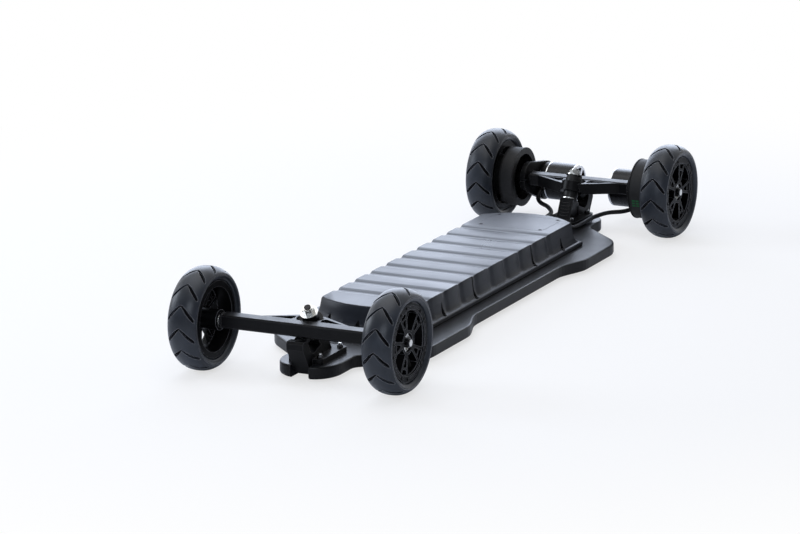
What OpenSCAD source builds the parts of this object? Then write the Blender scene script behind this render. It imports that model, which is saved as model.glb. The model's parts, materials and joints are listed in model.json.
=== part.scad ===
// Electric mountainboard, lying belly up on its four wheels.
// +X is the nose, +Y the left side as it lies, +Z up. Millimetres.
// The origin is on the ground, midway along the board.

/* [Layout] */
// Distance between the front and rear axles
wheelbase = 1010; // [980:5:1060]
// Distance between the left and right wheel centres
track = 316; // [312:1:330]
// Height of the belly plane below the axles
belly_drop = 54; // [52:0.5:56]
// Angle of each truck's kingpin from upright
truck_angle = 28; // [25:1:31]
// Distance from each axle to its kingpin ring
ring_back = 39; // [38:0.5:41]

/* [Deck] */
// How far the deck runs past each axle
deck_over = 5; // [-5:1:15]
// Width of the deck at its wings
deck_w = 262; // [240:2:290]
// Width of the deck at its waist
waist_w = 224; // [200:2:236]
// Width of the deck at nose and tail
tip_w = 98; // [92:1:110]
// Thickness of the deck
deck_t = 18; // [14:1:20]
// Thickness of the grip sheet
grip_t = 1; // [0.8:0.1:1.5]
// Width of the notch for each truck's arm
notch_w = 30; // [29:0.5:33]

/* [Battery cover] */
// Distance from the middle to the cover's front edge
cover_front = 340; // [330:1:350]
// Distance from the middle to the cover's rear edge
cover_rear = 335; // [328:1:342]
// Width of the cover across its flange
cover_w = 178; // [174:1:188]
// Height of the cover above its gasket
cover_h = 40; // [38:0.5:44]
// Wall of the cover's roof
cover_wall = 3; // [2:0.2:4]
// Thickness of the cover's flange
flange_t = 5; // [4:0.5:6]
// Thickness of the gasket
gasket_t = 2; // [1:0.5:3]
// Number of ridges across the cover
ridges = 8; // [6:1:8]
// Distance from ridge to ridge
ridge_pitch = 54; // [50:1:56]
// Depth of the valleys between ridges
ridge_depth = 2; // [1:0.5:3]

/* [Trucks] */
// Depth of the hanger bar, front to back
bar_depth = 23; // [20:1:24]
// Height of the hanger bar
bar_h = 20; // [18:1:21]
// Diameter of the kingpin
kingpin_d = 10; // [8:1:10]
// Diameter of the bushings
bushing_d = 23.4; // [22:0.2:24]
// Height of each bushing
bushing_h = 16.5; // [15:0.5:18]
// Diameter of the hanger's pivot pin
pivot_d = 12; // [10:0.5:13]
// Lengthwise spacing of the truck bolts
bolt_dx = 63.5; // [60:0.5:66]
// Crosswise spacing of the truck bolts
bolt_dy = 41.3; // [40:0.1:44]
// Diameter of the truck bolts
bolt_d = 5; // [4:0.5:5]

/* [Wheels] */
// Outer diameter of the tyres
tyre_d = 155; // [154:1:170]
// Width of the tyres
tyre_w = 47.4; // [44:0.2:50]
// Diameter of the rim over its flanges
rim_d = 115; // [112:1:118]
// Width of the rim over its flanges
rim_w = 39; // [36:0.5:40]
// Number of spokes
spokes = 5; // [4:1:6]
// Diameter of the axles
axle_d = 10; // [8:0.5:11]
// Outer diameter of the wheel bearings
bearing_d = 22; // [20:0.5:24]
// Width of the wheel bearings
bearing_w = 6; // [5:0.5:7]

/* [Drive] */
// Teeth on each wheel pulley
wheel_teeth = 60; // [56:4:60]
// Teeth on each motor pulley
motor_teeth = 15; // [14:1:15]
// Teeth on each belt
belt_teeth = 68; // [68:1:71]
// Pitch of the belt's teeth
belt_pitch = 5; // [5:0.05:5.1]
// Width of the belts
belt_w = 20; // [15:1:20]
// Diameter of the motors
motor_d = 63; // [60:0.5:64]
// Length of each motor can
motor_l = 52; // [44:1:56]
// Height of the motor shafts below the axle
motor_drop = 18; // [12:1:20]
// Diameter of the motor shafts
shaft_d = 8; // [6:0.5:9]
// Thickness of the motor mounts
mount_t = 8; // [6:0.5:9]
// Diameter of the motor cables
cable_d = 7.6; // [6:0.2:8]

/* [Controls] */
// Diameter of the power button
button_d = 14; // [12:0.5:16]
// Travel of the power button
button_travel = 1.5; // [1:0.1:2]
// Bore of the charge socket
socket_d = 12; // [10:0.5:13]

/* [Hidden] */
$fn = 64;

// Clearances
run_gap = 0.05;
face_gap = 0.1;
slip_gap = 0.3;

// Heights, measured from the axles
belly_z = -belly_drop;
ride_z = belly_z - deck_t;
cover_z = belly_z + gasket_t;
roof_z = cover_z + cover_h;

// Deck outline
wing_corner = 353.5;
wing_run = 30;
wing_angle = 48;
front_waist = 142;
rear_waist = 164;
wing_step = 72;
inner_r = 14;
nose_l = 46;
notch_x = wheelbase / 2 - 21;
edge_roll = 2.5;

// Battery cover
flange_run = 11.5;
front_run = 29;
rear_run = 18;
front_bow = 20;
front_sweep = 19;
rear_bow = 26;
rear_sweep = 19;
bow_power = 2.4;
valley_share = 0.24;
first_valley = 239;
lid_t = 2;
lid_x0 = -298;
lid_x1 = -216;
lid_y = 58;
lid_r = 12;
lid_ledge = 7;
lid_screw_d = 3;
screw_d = 4;
screw_head_d = 6;
screw_head_h = 4;
screw_in = 5.2;
nose_screw_in = 16.5;
screw_xs = [199, 86, -131, -240];
end_screw_ys = [-54, 0, 54];
gland_y = 36;
gland_z = -30;
gland_d = 15;
gland_l = 12;

// Inner pieces
cell_d = 21;
cell_l = 66;
cell_count = 20;
pack_x = 40;
controller = [80, 96, 26];
controller_x = -243;
wall_x = -262;
socket_x = -232;
side_z = -26;

deck_l = wheelbase + 2 * deck_over;

// Truck geometry, from each axle outwards
bar_front = 8;
ring_r = 18;
ring_h = 16;
ring_web = 6;
washer_d = 27;
washer_t = 2;
washer_clear = 7;
seat_z = ring_web / 2 + bushing_h;
tower_top = seat_z + washer_t;
tower_w = 23.5;
tower_in = 11.6;
tower_out = 14;
arm_w = 27;
arm_x = 44;
arm_roof = -15;
cup_wall = 3;
cup_l = 12;
boss_r = 10.5;
base_t = 8;
base_w = 56;
base_x0 = -97;
base_x1 = -12;
bolts_x = -54;
head_z = 48.5;
head_h = 6;
head_d = 16;
kingpin_nut_h = 9;
front_bar_half = track / 2 - 31;
rear_bar_half = track / 2 - 70;

// Wheel geometry, from each wheel's centre plane outwards
hub_in = -27;
hub_out = 13;
hub_r = 15.5;
spoke_z0 = 4;
spoke_z1 = 17;
spoke_bar = 4;
lip_w = 9;
rim_wall = 3;
rim_inner = rim_d / 2 - lip_w;
spoke_fork = 360 / spokes * 0.2;
spoke_root = asin(spoke_bar * 1.15 / (hub_r + 2.5));
nut_d = 14;
nut_h = 6.5;
axle_washer_t = 1.2;
nose_r = 7.5;

// Belt drive
wheel_pr = wheel_teeth * belt_pitch / 2 / PI;
motor_pr = motor_teeth * belt_pitch / 2 / PI;
pitch_gap = 0.57;
belt_back = 1.75;
tooth_r = 1.45;
groove_r = 1.6;
belt_y = track / 2 - 41;
pulley_w = belt_w + 1;
pulley_flange = 1.5;
spigot_r = 12;
mount_y = belt_y - pulley_w / 2 - pulley_flange - 4 - mount_t / 2;
base_h = 8;
can_wall = 2.5;
stator_l = motor_l - 22;
screw_circle = 22;
mount_screw_d = 4;

function belt_length(c) =
  2 * sqrt(c * c - pow(wheel_pr - motor_pr, 2)) + PI * (wheel_pr + motor_pr)
  + 2 * asin((wheel_pr - motor_pr) / c) * PI / 180 * (wheel_pr - motor_pr);
function solve_centres(lo, hi, steps) =
  let (mid = (lo + hi) / 2)
  steps == 0 ? mid
  : belt_length(mid) > belt_teeth * belt_pitch ? solve_centres(lo, mid, steps - 1)
  : solve_centres(mid, hi, steps - 1);
centres = solve_centres(wheel_pr - motor_pr + 1, belt_teeth * belt_pitch / 2, 40);
motor_x = sqrt(centres * centres - motor_drop * motor_drop);
drive_angle = atan2(-motor_drop, motor_x);
wrap = asin((wheel_pr - motor_pr) / centres);

// Where the board stands: the origin is under the middle of its length
front_reach = wheelbase / 2 + tyre_d / 2;
mount_r = motor_d / 2 + 1.5;
rear_reach = max(front_reach, wheelbase / 2 + motor_x + mount_r);
stand_x = (rear_reach - front_reach) / 2;

module stand() {
  translate([stand_x, 0, tyre_d / 2]) children();
}

// Places a piece at the front (end = 1) or rear (end = -1) axle, +X outwards
module at_axle(end) {
  translate([end * wheelbase / 2, 0, 0])
    if (end < 0) mirror([1, 0, 0]) children();
    else children();
}

// Mirrors a left piece (side = 1) to the right (side = -1)
module on_side(side) {
  if (side < 0) mirror([0, 1, 0]) children();
  else children();
}

// Frame with +X down the lean axis to the pivot and +Z up the kingpin
module lean_frame() {
  translate([-ring_back, 0, 0]) rotate([0, truck_angle, 0]) children();
}

// A cylinder along +X and along +Y
module x_cyl(x0, x1, r) {
  translate([x0, 0, 0]) rotate([0, 90, 0]) cylinder(h = x1 - x0, r = r);
}
module y_cyl(y0, y1, r) {
  translate([0, y0, 0]) rotate([-90, 0, 0]) cylinder(h = y1 - y0, r = r);
}
module hex_prism(flats, h) {
  cylinder(h = h, r = flats / sqrt(3), $fn = 6);
}

function clamp01(v) = min(1, max(0, v));
function smooth(v) = let (c = clamp01(v)) c * c * (3 - 2 * c);
function flip(list) = [for (i = [len(list) - 1 : -1 : 0]) list[i]];

// A solid through equal rings of points, each counter-clockwise, bottom to top.
// Both ends close in strips from a ring's first point to its last.
module loft(rings) {
  n = len(rings[0]);
  last = (len(rings) - 1) * n;
  sides = [
    for (k = [0 : len(rings) - 2], i = [0 : n - 1])
      let (a = k * n + i, b = k * n + (i + 1) % n)
        each [[a, a + n, b + n], [a, b + n, b]]
  ];
  polyhedron(
    points = [for (ring = rings) each ring],
    faces = concat(
      sides,
      [for (i = [0 : n / 2 - 2]) [i, i + 1, n - 2 - i, n - 1 - i]],
      [for (i = [0 : n / 2 - 2]) [last + n - 1 - i, last + n - 2 - i, last + i + 1, last + i]]
    )
  );
}

function outward(loop, i) =
  let (n = len(loop), d = loop[(i + 1) % n] - loop[(i + n - 1) % n])
  [d.y, -d.x] / norm(d);
function inset_loop(loop, by) =
  [for (i = [0 : len(loop) - 1]) loop[i] - by * outward(loop, i)];

// A bend from one point to another, drawn towards a corner
function bend(a, corner, b, steps) = [
  for (k = [0 : steps])
    let (t = k / steps) (1 - t) * (1 - t) * a + 2 * t * (1 - t) * corner + t * t * b
];

// One quarter of the deck's edge, from the tip to the waist
function deck_quarter(waist) =
  let (
    slant = [cos(wing_angle), -sin(wing_angle)],
    corner = [wing_corner, deck_w / 2],
    neck = wing_corner + (deck_w - tip_w) / 2 / tan(wing_angle) + inner_r * tan(wing_angle / 2)
  )
  concat(
    [
      for (a = [0 : 7.5 : 90])
        [deck_l / 2 - nose_l + nose_l * cos(a), 12 + (tip_w / 2 - 12) * sin(a)]
    ],
    [
      for (k = [0 : 3])
        let (a = 270 - k * wing_angle / 3)
          [neck + inner_r * cos(a), tip_w / 2 + inner_r + inner_r * sin(a)]
    ],
    bend(corner + wing_run * slant, corner, corner - [wing_run, 0], 7),
    [
      for (k = [9 : -1 : 0])
        let (x = waist + wing_step * k / 9)
          [x, waist_w / 2 + (deck_w - waist_w) / 2 * smooth(k / 9)]
    ]
  );
front_quarter = deck_quarter(front_waist);
rear_quarter = deck_quarter(rear_waist);
deck_loop = concat(
  front_quarter,
  [for (p = flip(rear_quarter)) [-p.x, p.y]],
  [for (p = rear_quarter) -p],
  [for (p = flip(front_quarter)) [p.x, -p.y]]
);
deck_edge = [
  [edge_roll, 0], [edge_roll * 0.3, edge_roll * 0.3], [0, edge_roll],
  [0, deck_t - edge_roll], [edge_roll * 0.3, deck_t - edge_roll * 0.3], [edge_roll, deck_t]
];

// Repeats its children at the four bolts of both trucks
module at_truck_bolts() {
  for (end = [1, -1], sx = [1, -1], sy = [1, -1])
    at_axle(end) translate([bolts_x + sx * bolt_dx / 2, sy * bolt_dy / 2, 0]) children();
}

// The truck arm's slot through the nose and tail
module arm_slots() {
  for (end = [1, -1])
    at_axle(end) {
      translate([-21, -notch_w / 2, ride_z - 5]) cube([60, notch_w, deck_t + 10]);
    }
}

module deck() {
  stand() color("dimgray") difference() {
    loft([for (e = deck_edge) [for (p = inset_loop(deck_loop, e[0])) [p.x, p.y, ride_z + e[1]]]]);
    arm_slots();
    at_truck_bolts() {
      translate([0, 0, ride_z - 1]) cylinder(h = deck_t + 2, r = bolt_d / 2 + 0.2);
      translate([0, 0, ride_z]) cylinder(h = bolt_d / 2, r1 = bolt_d, r2 = bolt_d / 2);
      translate([0, 0, ride_z - 1]) cylinder(h = 1, r = bolt_d);
    }
  }
}

module grip_sheet() {
  stand() color("black") difference() {
    translate([0, 0, ride_z - grip_t]) linear_extrude(grip_t) polygon(inset_loop(deck_loop, edge_roll + 1));
    translate([0, 0, 0]) arm_slots();
    at_truck_bolts() translate([0, 0, ride_z - grip_t - 1]) cylinder(h = grip_t + 2, r = bolt_d + 0.8);
  }
}

// Wall of the battery cover: share of the run inwards, and height
wall_steps = [
  [0, 0], [0.02, flange_t - 1], [0.1, flange_t + 0.2], [0.32, flange_t + 1.2],
  [0.5, flange_t + 3.5], [0.64, flange_t + 8], [0.74, flange_t + 14.5], [0.82, flange_t + 22],
  [0.9, cover_h - 3], [0.96, cover_h - 0.8], [1, cover_h]
];
cavity_steps = [[0, -1], [0.2, 6], [0.6, 18], [0.85, cover_h - 12], [1, cover_h - cover_wall - ridge_depth]];
roof_shares = [0.82, 0.6, 0.34, 0];

// Places of the ridges' rows, counted in ridges from the first valley
ridge_rows = [
  for (k = [0 : ridges], o = [-1, -0.6, -0.25, 0, 0.25, 0.6, 1]) k + o * valley_share
];
// How deep the roof is at a place, from 0 on a ridge to 1 in a valley
function valley(u) =
  let (d = abs(u - round(u)))
  u < -0.5 || u > ridges + 0.5 || d >= valley_share ? 0 : (1 + cos(180 * d / valley_share)) / 2;

// How far the cover's ends have curved back at y, from 0 in the middle to 1 at the widest
function bow(y, half) = pow(abs(y) / half, bow_power);

// Rows across the cover, each [x, bow, height], and columns along it, each [y, height, share]
function cover_rows(steps, front, rear, ribbed) =
  concat(
    [
      for (s = steps)
        [front - s[0] * (ribbed ? front_run : front_run / 2), front_bow + front_sweep * s[0], s[1]]
    ],
    [for (s = [[0.6, 22], [0.22, 48]]) [front - front_run - s[1], (front_bow + front_sweep) * s[0], 1000]],
    ribbed
    ? [for (u = ridge_rows) [first_valley - u * ridge_pitch, 0, 1000]]
    : [],
    [for (s = [[0.2, 98], [0.6, 58]]) [-rear + s[1], -(rear_bow + rear_sweep) * s[0], 1000]],
    [
      for (s = flip(steps))
        [-rear + s[0] * (ribbed ? rear_run : rear_run / 2), -rear_bow - rear_sweep * s[0], s[1]]
    ]
  );
function cover_half(steps, half, run) =
  concat(
    [for (s = steps) [half - s[0] * run, s[1], s[0]]],
    [for (q = roof_shares) [(half - run) * q, 1000, 1]]
  );
function cover_columns(steps, half, run) =
  let (h = cover_half(steps, half, run))
  concat([for (c = h) c], [for (i = [len(h) - 2 : -1 : 0]) [-h[i][0], h[i][1], h[i][2]]]);

// A domed box with ridges, over a grid of rows and columns, closed below
module cover_form(steps, half, run, front, rear, ribbed) {
  rows = cover_rows(steps, front, rear, ribbed);
  cols = cover_columns(steps, half, run);
  nr = len(rows);
  nc = len(cols);
  roof = steps[len(steps) - 1][1];
  points = [
    for (r = rows, c = cols)
      let (
        dip = ribbed ? ridge_depth * valley((first_valley - r[0]) / ridge_pitch) : 0,
        y = c[0] - sign(c[0]) * dip * clamp01((c[2] - 0.14) / 0.5) * (abs(c[0]) > half - run - 1 ? 1 : 0),
        high = min(r[2], c[1], roof),
        z = high - dip * clamp01((c[2] - 0.78) / 0.1)
      )
        [r[0] - r[1] * bow(c[0], half), y, cover_z + z]
  ];
  top = [
    for (i = [0 : nr - 2], j = [0 : nc - 2])
      let (a = i * nc + j, b = a + 1, c = a + nc, d = c + 1)
        each ((i < nr / 2) == (j < nc / 2) ? [[a, b, d], [a, d, c]] : [[a, b, c], [b, d, c]])
  ];
  base = concat(
    [for (i = [0 : nr - 2]) [i * nc, (i + 1) * nc, (i + 2) * nc - 1, (i + 1) * nc - 1]],
    [[for (j = [nc - 1 : -1 : 0]) j]],
    [[for (j = [0 : nc - 1]) (nr - 1) * nc + j]]
  );
  polyhedron(points = points, faces = concat(top, base));
}

// Repeats its children at the cover's screws
module at_cover_screws() {
  for (x = screw_xs, s = [1, -1])
    translate([x, s * (cover_w / 2 - screw_in), cover_z]) children();
  for (y = end_screw_ys) {
    translate([cover_front - nose_screw_in - (front_bow + front_sweep) * bow(y, cover_w / 2), y, cover_z])
      children();
    translate([-cover_rear + screw_in + rear_bow * bow(y, cover_w / 2), y, cover_z]) children();
  }
}

module rounded_box(x0, x1, half, r) {
  hx = (x1 - x0) / 2;
  translate([(x0 + x1) / 2, 0]) {
    square([2 * hx - 2 * r, 2 * half], center = true);
    square([2 * hx, 2 * half - 2 * r], center = true);
    for (sx = [1, -1], sy = [1, -1])
      translate([sx * (hx - r), sy * (half - r)]) circle(r = r);
  }
}

module enclosure_cover() {
  stand() color("slategray") difference() {
    cover_form(wall_steps, cover_w / 2, flange_run, cover_front, cover_rear, true);
    cover_form(cavity_steps, cover_w / 2 - 13, flange_run / 2, cover_front - 26, cover_rear - 24, false);
    translate([0, 0, roof_z - lid_t]) linear_extrude(lid_t + 5) rounded_box(lid_x0, lid_x1, lid_y, lid_r);
    translate([0, 0, roof_z - 20])
      linear_extrude(25)
        rounded_box(lid_x0 + lid_ledge, lid_x1 - lid_ledge, lid_y - lid_ledge, lid_r - 3);
    at_lid_screws() translate([0, 0, -8]) cylinder(h = 12, r = lid_screw_d / 2 + 0.1);
    at_cover_screws() {
      translate([0, 0, -5]) cylinder(h = 20, r = screw_d / 2 + 0.2);
      translate([0, 0, flange_t - 1.5]) cylinder(h = cover_h, r = screw_head_d / 2 + 1);
    }
    for (s = [1, -1])
      translate([0, s * gland_y, gland_z]) {
        x_cyl(-cover_rear - 20, -cover_rear + 40, gland_d / 2 - 2.9);
        x_cyl(-cover_rear - 20, gland_seat(), gland_d / 2 + slip_gap);
      }
    translate([wall_x, 0, side_z]) y_cyl(-cover_w / 2, -cover_w / 2 + 30, button_d / 2 + slip_gap);
    translate([socket_x, 0, side_z]) y_cyl(-cover_w / 2, -cover_w / 2 + 30, socket_d / 2 + 2.6);
  }
}

function gland_seat() = -cover_rear + rear_run * 0.8;

module enclosure_gasket() {
  stand() color("black") difference() {
    translate([0, 0, belly_z]) linear_extrude(gasket_t) polygon(flange_loop(1, 1));
    translate([0, 0, belly_z - 1]) linear_extrude(gasket_t + 2) polygon(flange_loop(12, 28));
    at_cover_screws() translate([0, 0, -gasket_t - 1]) cylinder(h = gasket_t + 2, r = screw_d / 2 + 0.2);
  }
}

// Outline of the cover's flange, drawn in by a distance, and by another at the front
function flange_loop(by, nose) =
  let (ys = [for (k = [-8 : 8]) (cover_w / 2 - by) * sin(90 * k / 8)])
  concat(
    [for (y = ys) [cover_front - nose - front_bow * bow(y, cover_w / 2), y]],
    [for (y = flip(ys)) [-cover_rear + by + rear_bow * bow(y, cover_w / 2), y]]
  );

module enclosure_screws() {
  stand() color("silver") at_cover_screws() {
    translate([0, 0, flange_t - 1.5]) difference() {
      cylinder(h = screw_head_h, r = screw_head_d / 2);
      translate([0, 0, screw_head_h - 2]) hex_prism(3, 3);
    }
    translate([0, 0, -gasket_t]) cylinder(h = gasket_t + flange_t - 1.5, r = screw_d / 2);
  }
}

module at_lid_screws() {
  inset = lid_ledge / 2 + 2.5;
  for (x = [lid_x0 + inset, lid_x1 - inset], y = [lid_y - inset, -lid_y + inset])
    translate([x, y, roof_z]) children();
}

module service_lid() {
  stand() color("slategray") difference() {
    translate([0, 0, roof_z - lid_t])
      linear_extrude(lid_t)
        rounded_box(lid_x0 + slip_gap, lid_x1 - slip_gap, lid_y - slip_gap, lid_r - slip_gap);
    at_lid_screws() {
      translate([0, 0, -lid_t - 1]) cylinder(h = lid_t + 2, r = lid_screw_d / 2 + 0.1);
      translate([0, 0, -1]) cylinder(h = 2, r = lid_screw_d);
    }
  }
}

module service_lid_screws() {
  stand() color("dimgray") at_lid_screws() {
    translate([0, 0, -1]) cylinder(h = 0.9, r = lid_screw_d - 0.1);
    translate([0, 0, -7]) cylinder(h = 6, r = lid_screw_d / 2);
  }
}

// Two banks of cells lying across the board, on a base sheet
module battery_pack() {
  stand() color("royalblue") translate([pack_x - cell_count * cell_d / 2, 0, belly_z]) {
    for (s = [1, -1], k = [0 : cell_count - 1])
      translate([(k + 0.5) * cell_d, s * (cell_l / 2 + 0.5), cell_d / 2 + 1])
        y_cyl(-cell_l / 2, cell_l / 2, cell_d / 2 - 0.1);
    translate([0, -cell_l - 0.5, 0]) cube([cell_count * cell_d, 2 * cell_l + 1, 4]);
  }
}

// Finned speed controller under the service lid
module motor_controller() {
  fins = 9;
  stand() color("silver") translate([controller_x, 0, belly_z]) {
    translate([-controller.x / 2, -controller.y / 2, 0]) cube([controller.x, controller.y, controller.z - 8]);
    for (k = [0 : fins - 1])
      translate([-controller.x / 2, -controller.y / 2 + k * (controller.y - 4) / (fins - 1), controller.z - 9])
        cube([controller.x, 4, 9]);
  }
}

// Face of the side wall at the controls
control_y = -cover_w / 2 + flange_run * 0.81;

module power_button() {
  stand() color("silver") translate([wall_x, 0, side_z]) {
    y_cyl(control_y - 2, control_y + 11.4, button_d / 2);
    y_cyl(control_y + 11, control_y + 12.4, button_d / 2 + 1);
  }
}

module charge_socket() {
  stand() color("black") translate([socket_x, 0, side_z]) difference() {
    y_cyl(control_y - 1, control_y + 16, socket_d / 2 + 2.5);
    y_cyl(control_y - 2, control_y + 14, socket_d / 2);
  }
}

module cable_glands() {
  stand() color("black") for (s = [1, -1])
    translate([0, s * gland_y, gland_z]) {
      x_cyl(gland_seat() - gland_l, gland_seat() - 4, gland_d / 2 - 2);
      translate([gland_seat() - 4, 0, 0]) rotate([0, 90, 0]) cylinder(h = 4, r = gland_d / 2, $fn = 6);
      x_cyl(gland_seat() - 1, gland_seat() + 12, gland_d / 2 - 3);
    }
}

// A point of the truck's side view, from lean-frame coordinates
function lean_point(x, z) = [
  -ring_back + x * cos(truck_angle) + z * sin(truck_angle),
  -x * sin(truck_angle) + z * cos(truck_angle)
];
module side_plate(points, width) {
  rotate([90, 0, 0]) linear_extrude(width, center = true) polygon(points);
}
// Height along the kingpin where a line parallel to it meets a level
function down_to(x, level) = (level + x * sin(truck_angle)) / cos(truck_angle);

module truck_base() {
  floor_z = belly_z + base_t;
  difference() {
    union() {
      translate([0, 0, belly_z]) linear_extrude(base_t) difference() {
        rounded_box(base_x0, base_x1, base_w / 2, 6);
      }
      side_plate([
        lean_point(-tower_in, -tower_top), lean_point(tower_out, -tower_top),
        lean_point(tower_out, down_to(tower_out, belly_z + 2)),
        lean_point(-tower_in, down_to(-tower_in, belly_z + 2))
      ], tower_w);
      side_plate([
        lean_point(tower_out - 3, -tower_top - 6), lean_point(arm_x - 6, -tower_top - 2),
        lean_point(arm_x, -tower_top + 5),
        lean_point(arm_x, (arm_roof + arm_x * sin(truck_angle)) / cos(truck_angle)),
        [bar_front + 6.5, arm_roof], [bar_front + 9.5, arm_roof - 3.5], [bar_front + 9.5, belly_z + 27],
        [-6, belly_z - 12], [-16, belly_z - 12], [-19, belly_z + 0.5], [-40, belly_z + 0.5]
      ], arm_w);
    }
    lean_frame() {
      translate([0, 0, -2 * belly_drop]) cylinder(h = 2 * belly_drop, r = kingpin_d / 2 + 0.1);
      translate([0, 0, -2 * belly_drop]) cylinder(h = 2 * belly_drop - head_z, r = head_d / sqrt(3) + 0.4);
      x_cyl(arm_x - 1, arm_x + cup_l + 1, pivot_d / 2 + cup_wall);
      for (k = [0 : 4])
        translate([-tower_in - 1, -7, -tower_top - 8 - k * 5.5]) cube([2, 14, 2.4]);
    }
    translate([0, 0, belly_z - 10]) base_bolt_holes();
  }
}

module base_bolt_holes() {
  for (sx = [1, -1], sy = [1, -1])
    translate([bolts_x + sx * bolt_dx / 2, sy * bolt_dy / 2, 0])
      cylinder(h = 10 + base_t + 1, r = bolt_d / 2 + 0.2);
}

module front_truck_base() {
  stand() color("dimgray") at_axle(1) truck_base();
}
module rear_truck_base() {
  stand() color("dimgray") at_axle(-1) truck_base();
}

module truck_bolts() {
  stand() color("silver") at_truck_bolts() {
    translate([0, 0, ride_z]) difference() {
      cylinder(h = bolt_d / 2 - 0.2, r1 = bolt_d - 0.2, r2 = bolt_d / 2);
      translate([0, 0, -1]) hex_prism(3, 2.4);
    }
    translate([0, 0, ride_z + 1]) cylinder(h = deck_t + base_t + 6, r = bolt_d / 2);
  }
}

module truck_nuts() {
  stand() color("silver") at_truck_bolts() translate([0, 0, belly_z + base_t]) difference() {
    union() {
      hex_prism(8, 3.6);
      translate([0, 0, 3.6]) cylinder(h = 1.2, r = 3.4);
    }
    translate([0, 0, -1]) cylinder(h = 8, r = bolt_d / 2 + 0.03);
  }
}

module kingpins() {
  stand() color("silver") for (end = [1, -1])
    at_axle(end) lean_frame() {
      translate([0, 0, -head_z - head_h]) hex_prism(head_d, head_h);
      translate([0, 0, -head_z - 1]) cylinder(h = head_z + tower_top + kingpin_nut_h + 2.5, r = kingpin_d / 2);
    }
}

module kingpin_nuts() {
  stand() color("silver") for (end = [1, -1])
    at_axle(end) lean_frame() translate([0, 0, tower_top]) difference() {
      union() {
        hex_prism(head_d, kingpin_nut_h - 2);
        translate([0, 0, kingpin_nut_h - 2]) cylinder(h = 2, r = head_d / 2 - 1);
      }
      translate([0, 0, -1]) cylinder(h = kingpin_nut_h + 2, r = kingpin_d / 2 + 0.03);
    }
}

module bushing_washers() {
  stand() color("silver") for (end = [1, -1], s = [1, -1])
    at_axle(end) lean_frame() translate([0, 0, s * (seat_z + washer_t / 2)]) difference() {
      cylinder(h = washer_t, r = washer_d / 2, center = true);
      cylinder(h = washer_t + 2, r = kingpin_d / 2 + 0.1, center = true);
    }
}

// Barrel bushings above and below the hanger's ring
module bushing_pair() {
  for (s = [1, -1])
    translate([0, 0, s > 0 ? ring_web / 2 : -seat_z]) difference() {
      cylinder(h = bushing_h, r = bushing_d / 2);
      translate([0, 0, -1]) cylinder(h = bushing_h + 2, r = kingpin_d / 2 + 0.1);
    }
}
module front_bushings() {
  stand() color("orange") at_axle(1) lean_frame() bushing_pair();
}
module rear_bushings() {
  stand() color("orange") at_axle(-1) lean_frame() bushing_pair();
}

module pivot_cups() {
  stand() color("white") for (end = [1, -1])
    at_axle(end) lean_frame() difference() {
      x_cyl(arm_x + 0.5, arm_x + cup_l + 1, pivot_d / 2 + cup_wall);
      x_cyl(arm_x - 1, arm_x + cup_l - 1.5, pivot_d / 2 + run_gap);
    }
}

// Hanger: bar, trussed arms to the kingpin ring, and pivot boss.
// The spigot past the bar carries a motor mount where there is one.
module hanger(bar_half, spigot_end) {
  back = bar_front - bar_depth;
  half_h = bar_h / 2;
  difference() {
    union() {
      side_plate([
        [back, -half_h + 2], [back + 2, -half_h], [bar_front - 2, -half_h], [bar_front, -half_h + 2],
        [bar_front, half_h - 2], [bar_front - 2, half_h], [back + 2, half_h], [back, half_h - 2]
      ], 2 * bar_half);
      translate([0, 0, 1 - half_h]) linear_extrude(bar_h - 2) difference() {
        polygon([
          [back + 2, 76], [back - 1, 72], [-ring_back - 8, 17], [-ring_back - 8, -17],
          [back - 1, -72], [back + 2, -76]
        ]);
        for (s = [1, -1])
          polygon([[back - 3, s * 60], [back - 3, s * 24], [-ring_back + 8, s * 21], [-ring_back + 4, s * 26]]);
      }
      lean_frame() cylinder(h = ring_h, r = ring_r, center = true);
      lean_frame() x_cyl(ring_r - 4, arm_x - 1, boss_r);
      lean_frame() x_cyl(arm_x - 2, arm_x + cup_l - 2, pivot_d / 2);
      for (s = [1, -1])
        on_side(s) {
          y_cyl(bar_half - 1, spigot_end, min(spigot_r, half_h + 2));
          y_cyl(spigot_end - 1, track / 2 + hub_in - face_gap, nose_r);
        }
    }
    lean_frame() {
      cylinder(h = 60, r = kingpin_d / 2 + 2.5, center = true);
      for (s = [1, -1])
        translate([0, 0, s > 0 ? ring_web / 2 : -ring_web / 2 - 12]) cylinder(h = 12, r = bushing_d / 2 + 0.5);
      for (s = [1, -1])
        translate([0, 0, s > 0 ? ring_h / 2 : -ring_h / 2 - 40]) cylinder(h = 40, r = washer_d / 2 + washer_clear);
    }
    y_cyl(-track, track, axle_d / 2 + run_gap);
  }
}
module front_hanger() {
  stand() color("dimgray") at_axle(1) hanger(front_bar_half, front_bar_half + 1);
}
module rear_hanger() {
  stand() color("dimgray") at_axle(-1) hanger(rear_bar_half, mount_y + mount_t / 2 + 1);
}

axle_half = track / 2 + hub_out + face_gap + axle_washer_t + nut_h + 0.7;
module axle() {
  y_cyl(-axle_half, axle_half, axle_d / 2);
}
module front_axle() {
  stand() color("silver") at_axle(1) axle();
}
module rear_axle() {
  stand() color("silver") at_axle(-1) axle();
}

module axle_nuts() {
  for (s = [1, -1])
    on_side(s) translate([0, track / 2 + hub_out + face_gap, 0]) rotate([-90, 0, 0]) difference() {
      union() {
        cylinder(h = axle_washer_t, r = nut_d / 2 + 0.6);
        translate([0, 0, axle_washer_t]) hex_prism(nut_d, nut_h - 2);
        translate([0, 0, axle_washer_t + nut_h - 2]) cylinder(h = 2, r = nut_d / 2 - 1);
      }
      translate([0, 0, -1]) cylinder(h = 20, r = axle_d / 2 + 0.03);
    }
}
module front_axle_nuts() {
  stand() color("silver") at_axle(1) axle_nuts();
}
module rear_axle_nuts() {
  stand() color("silver") at_axle(-1) axle_nuts();
}

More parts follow.
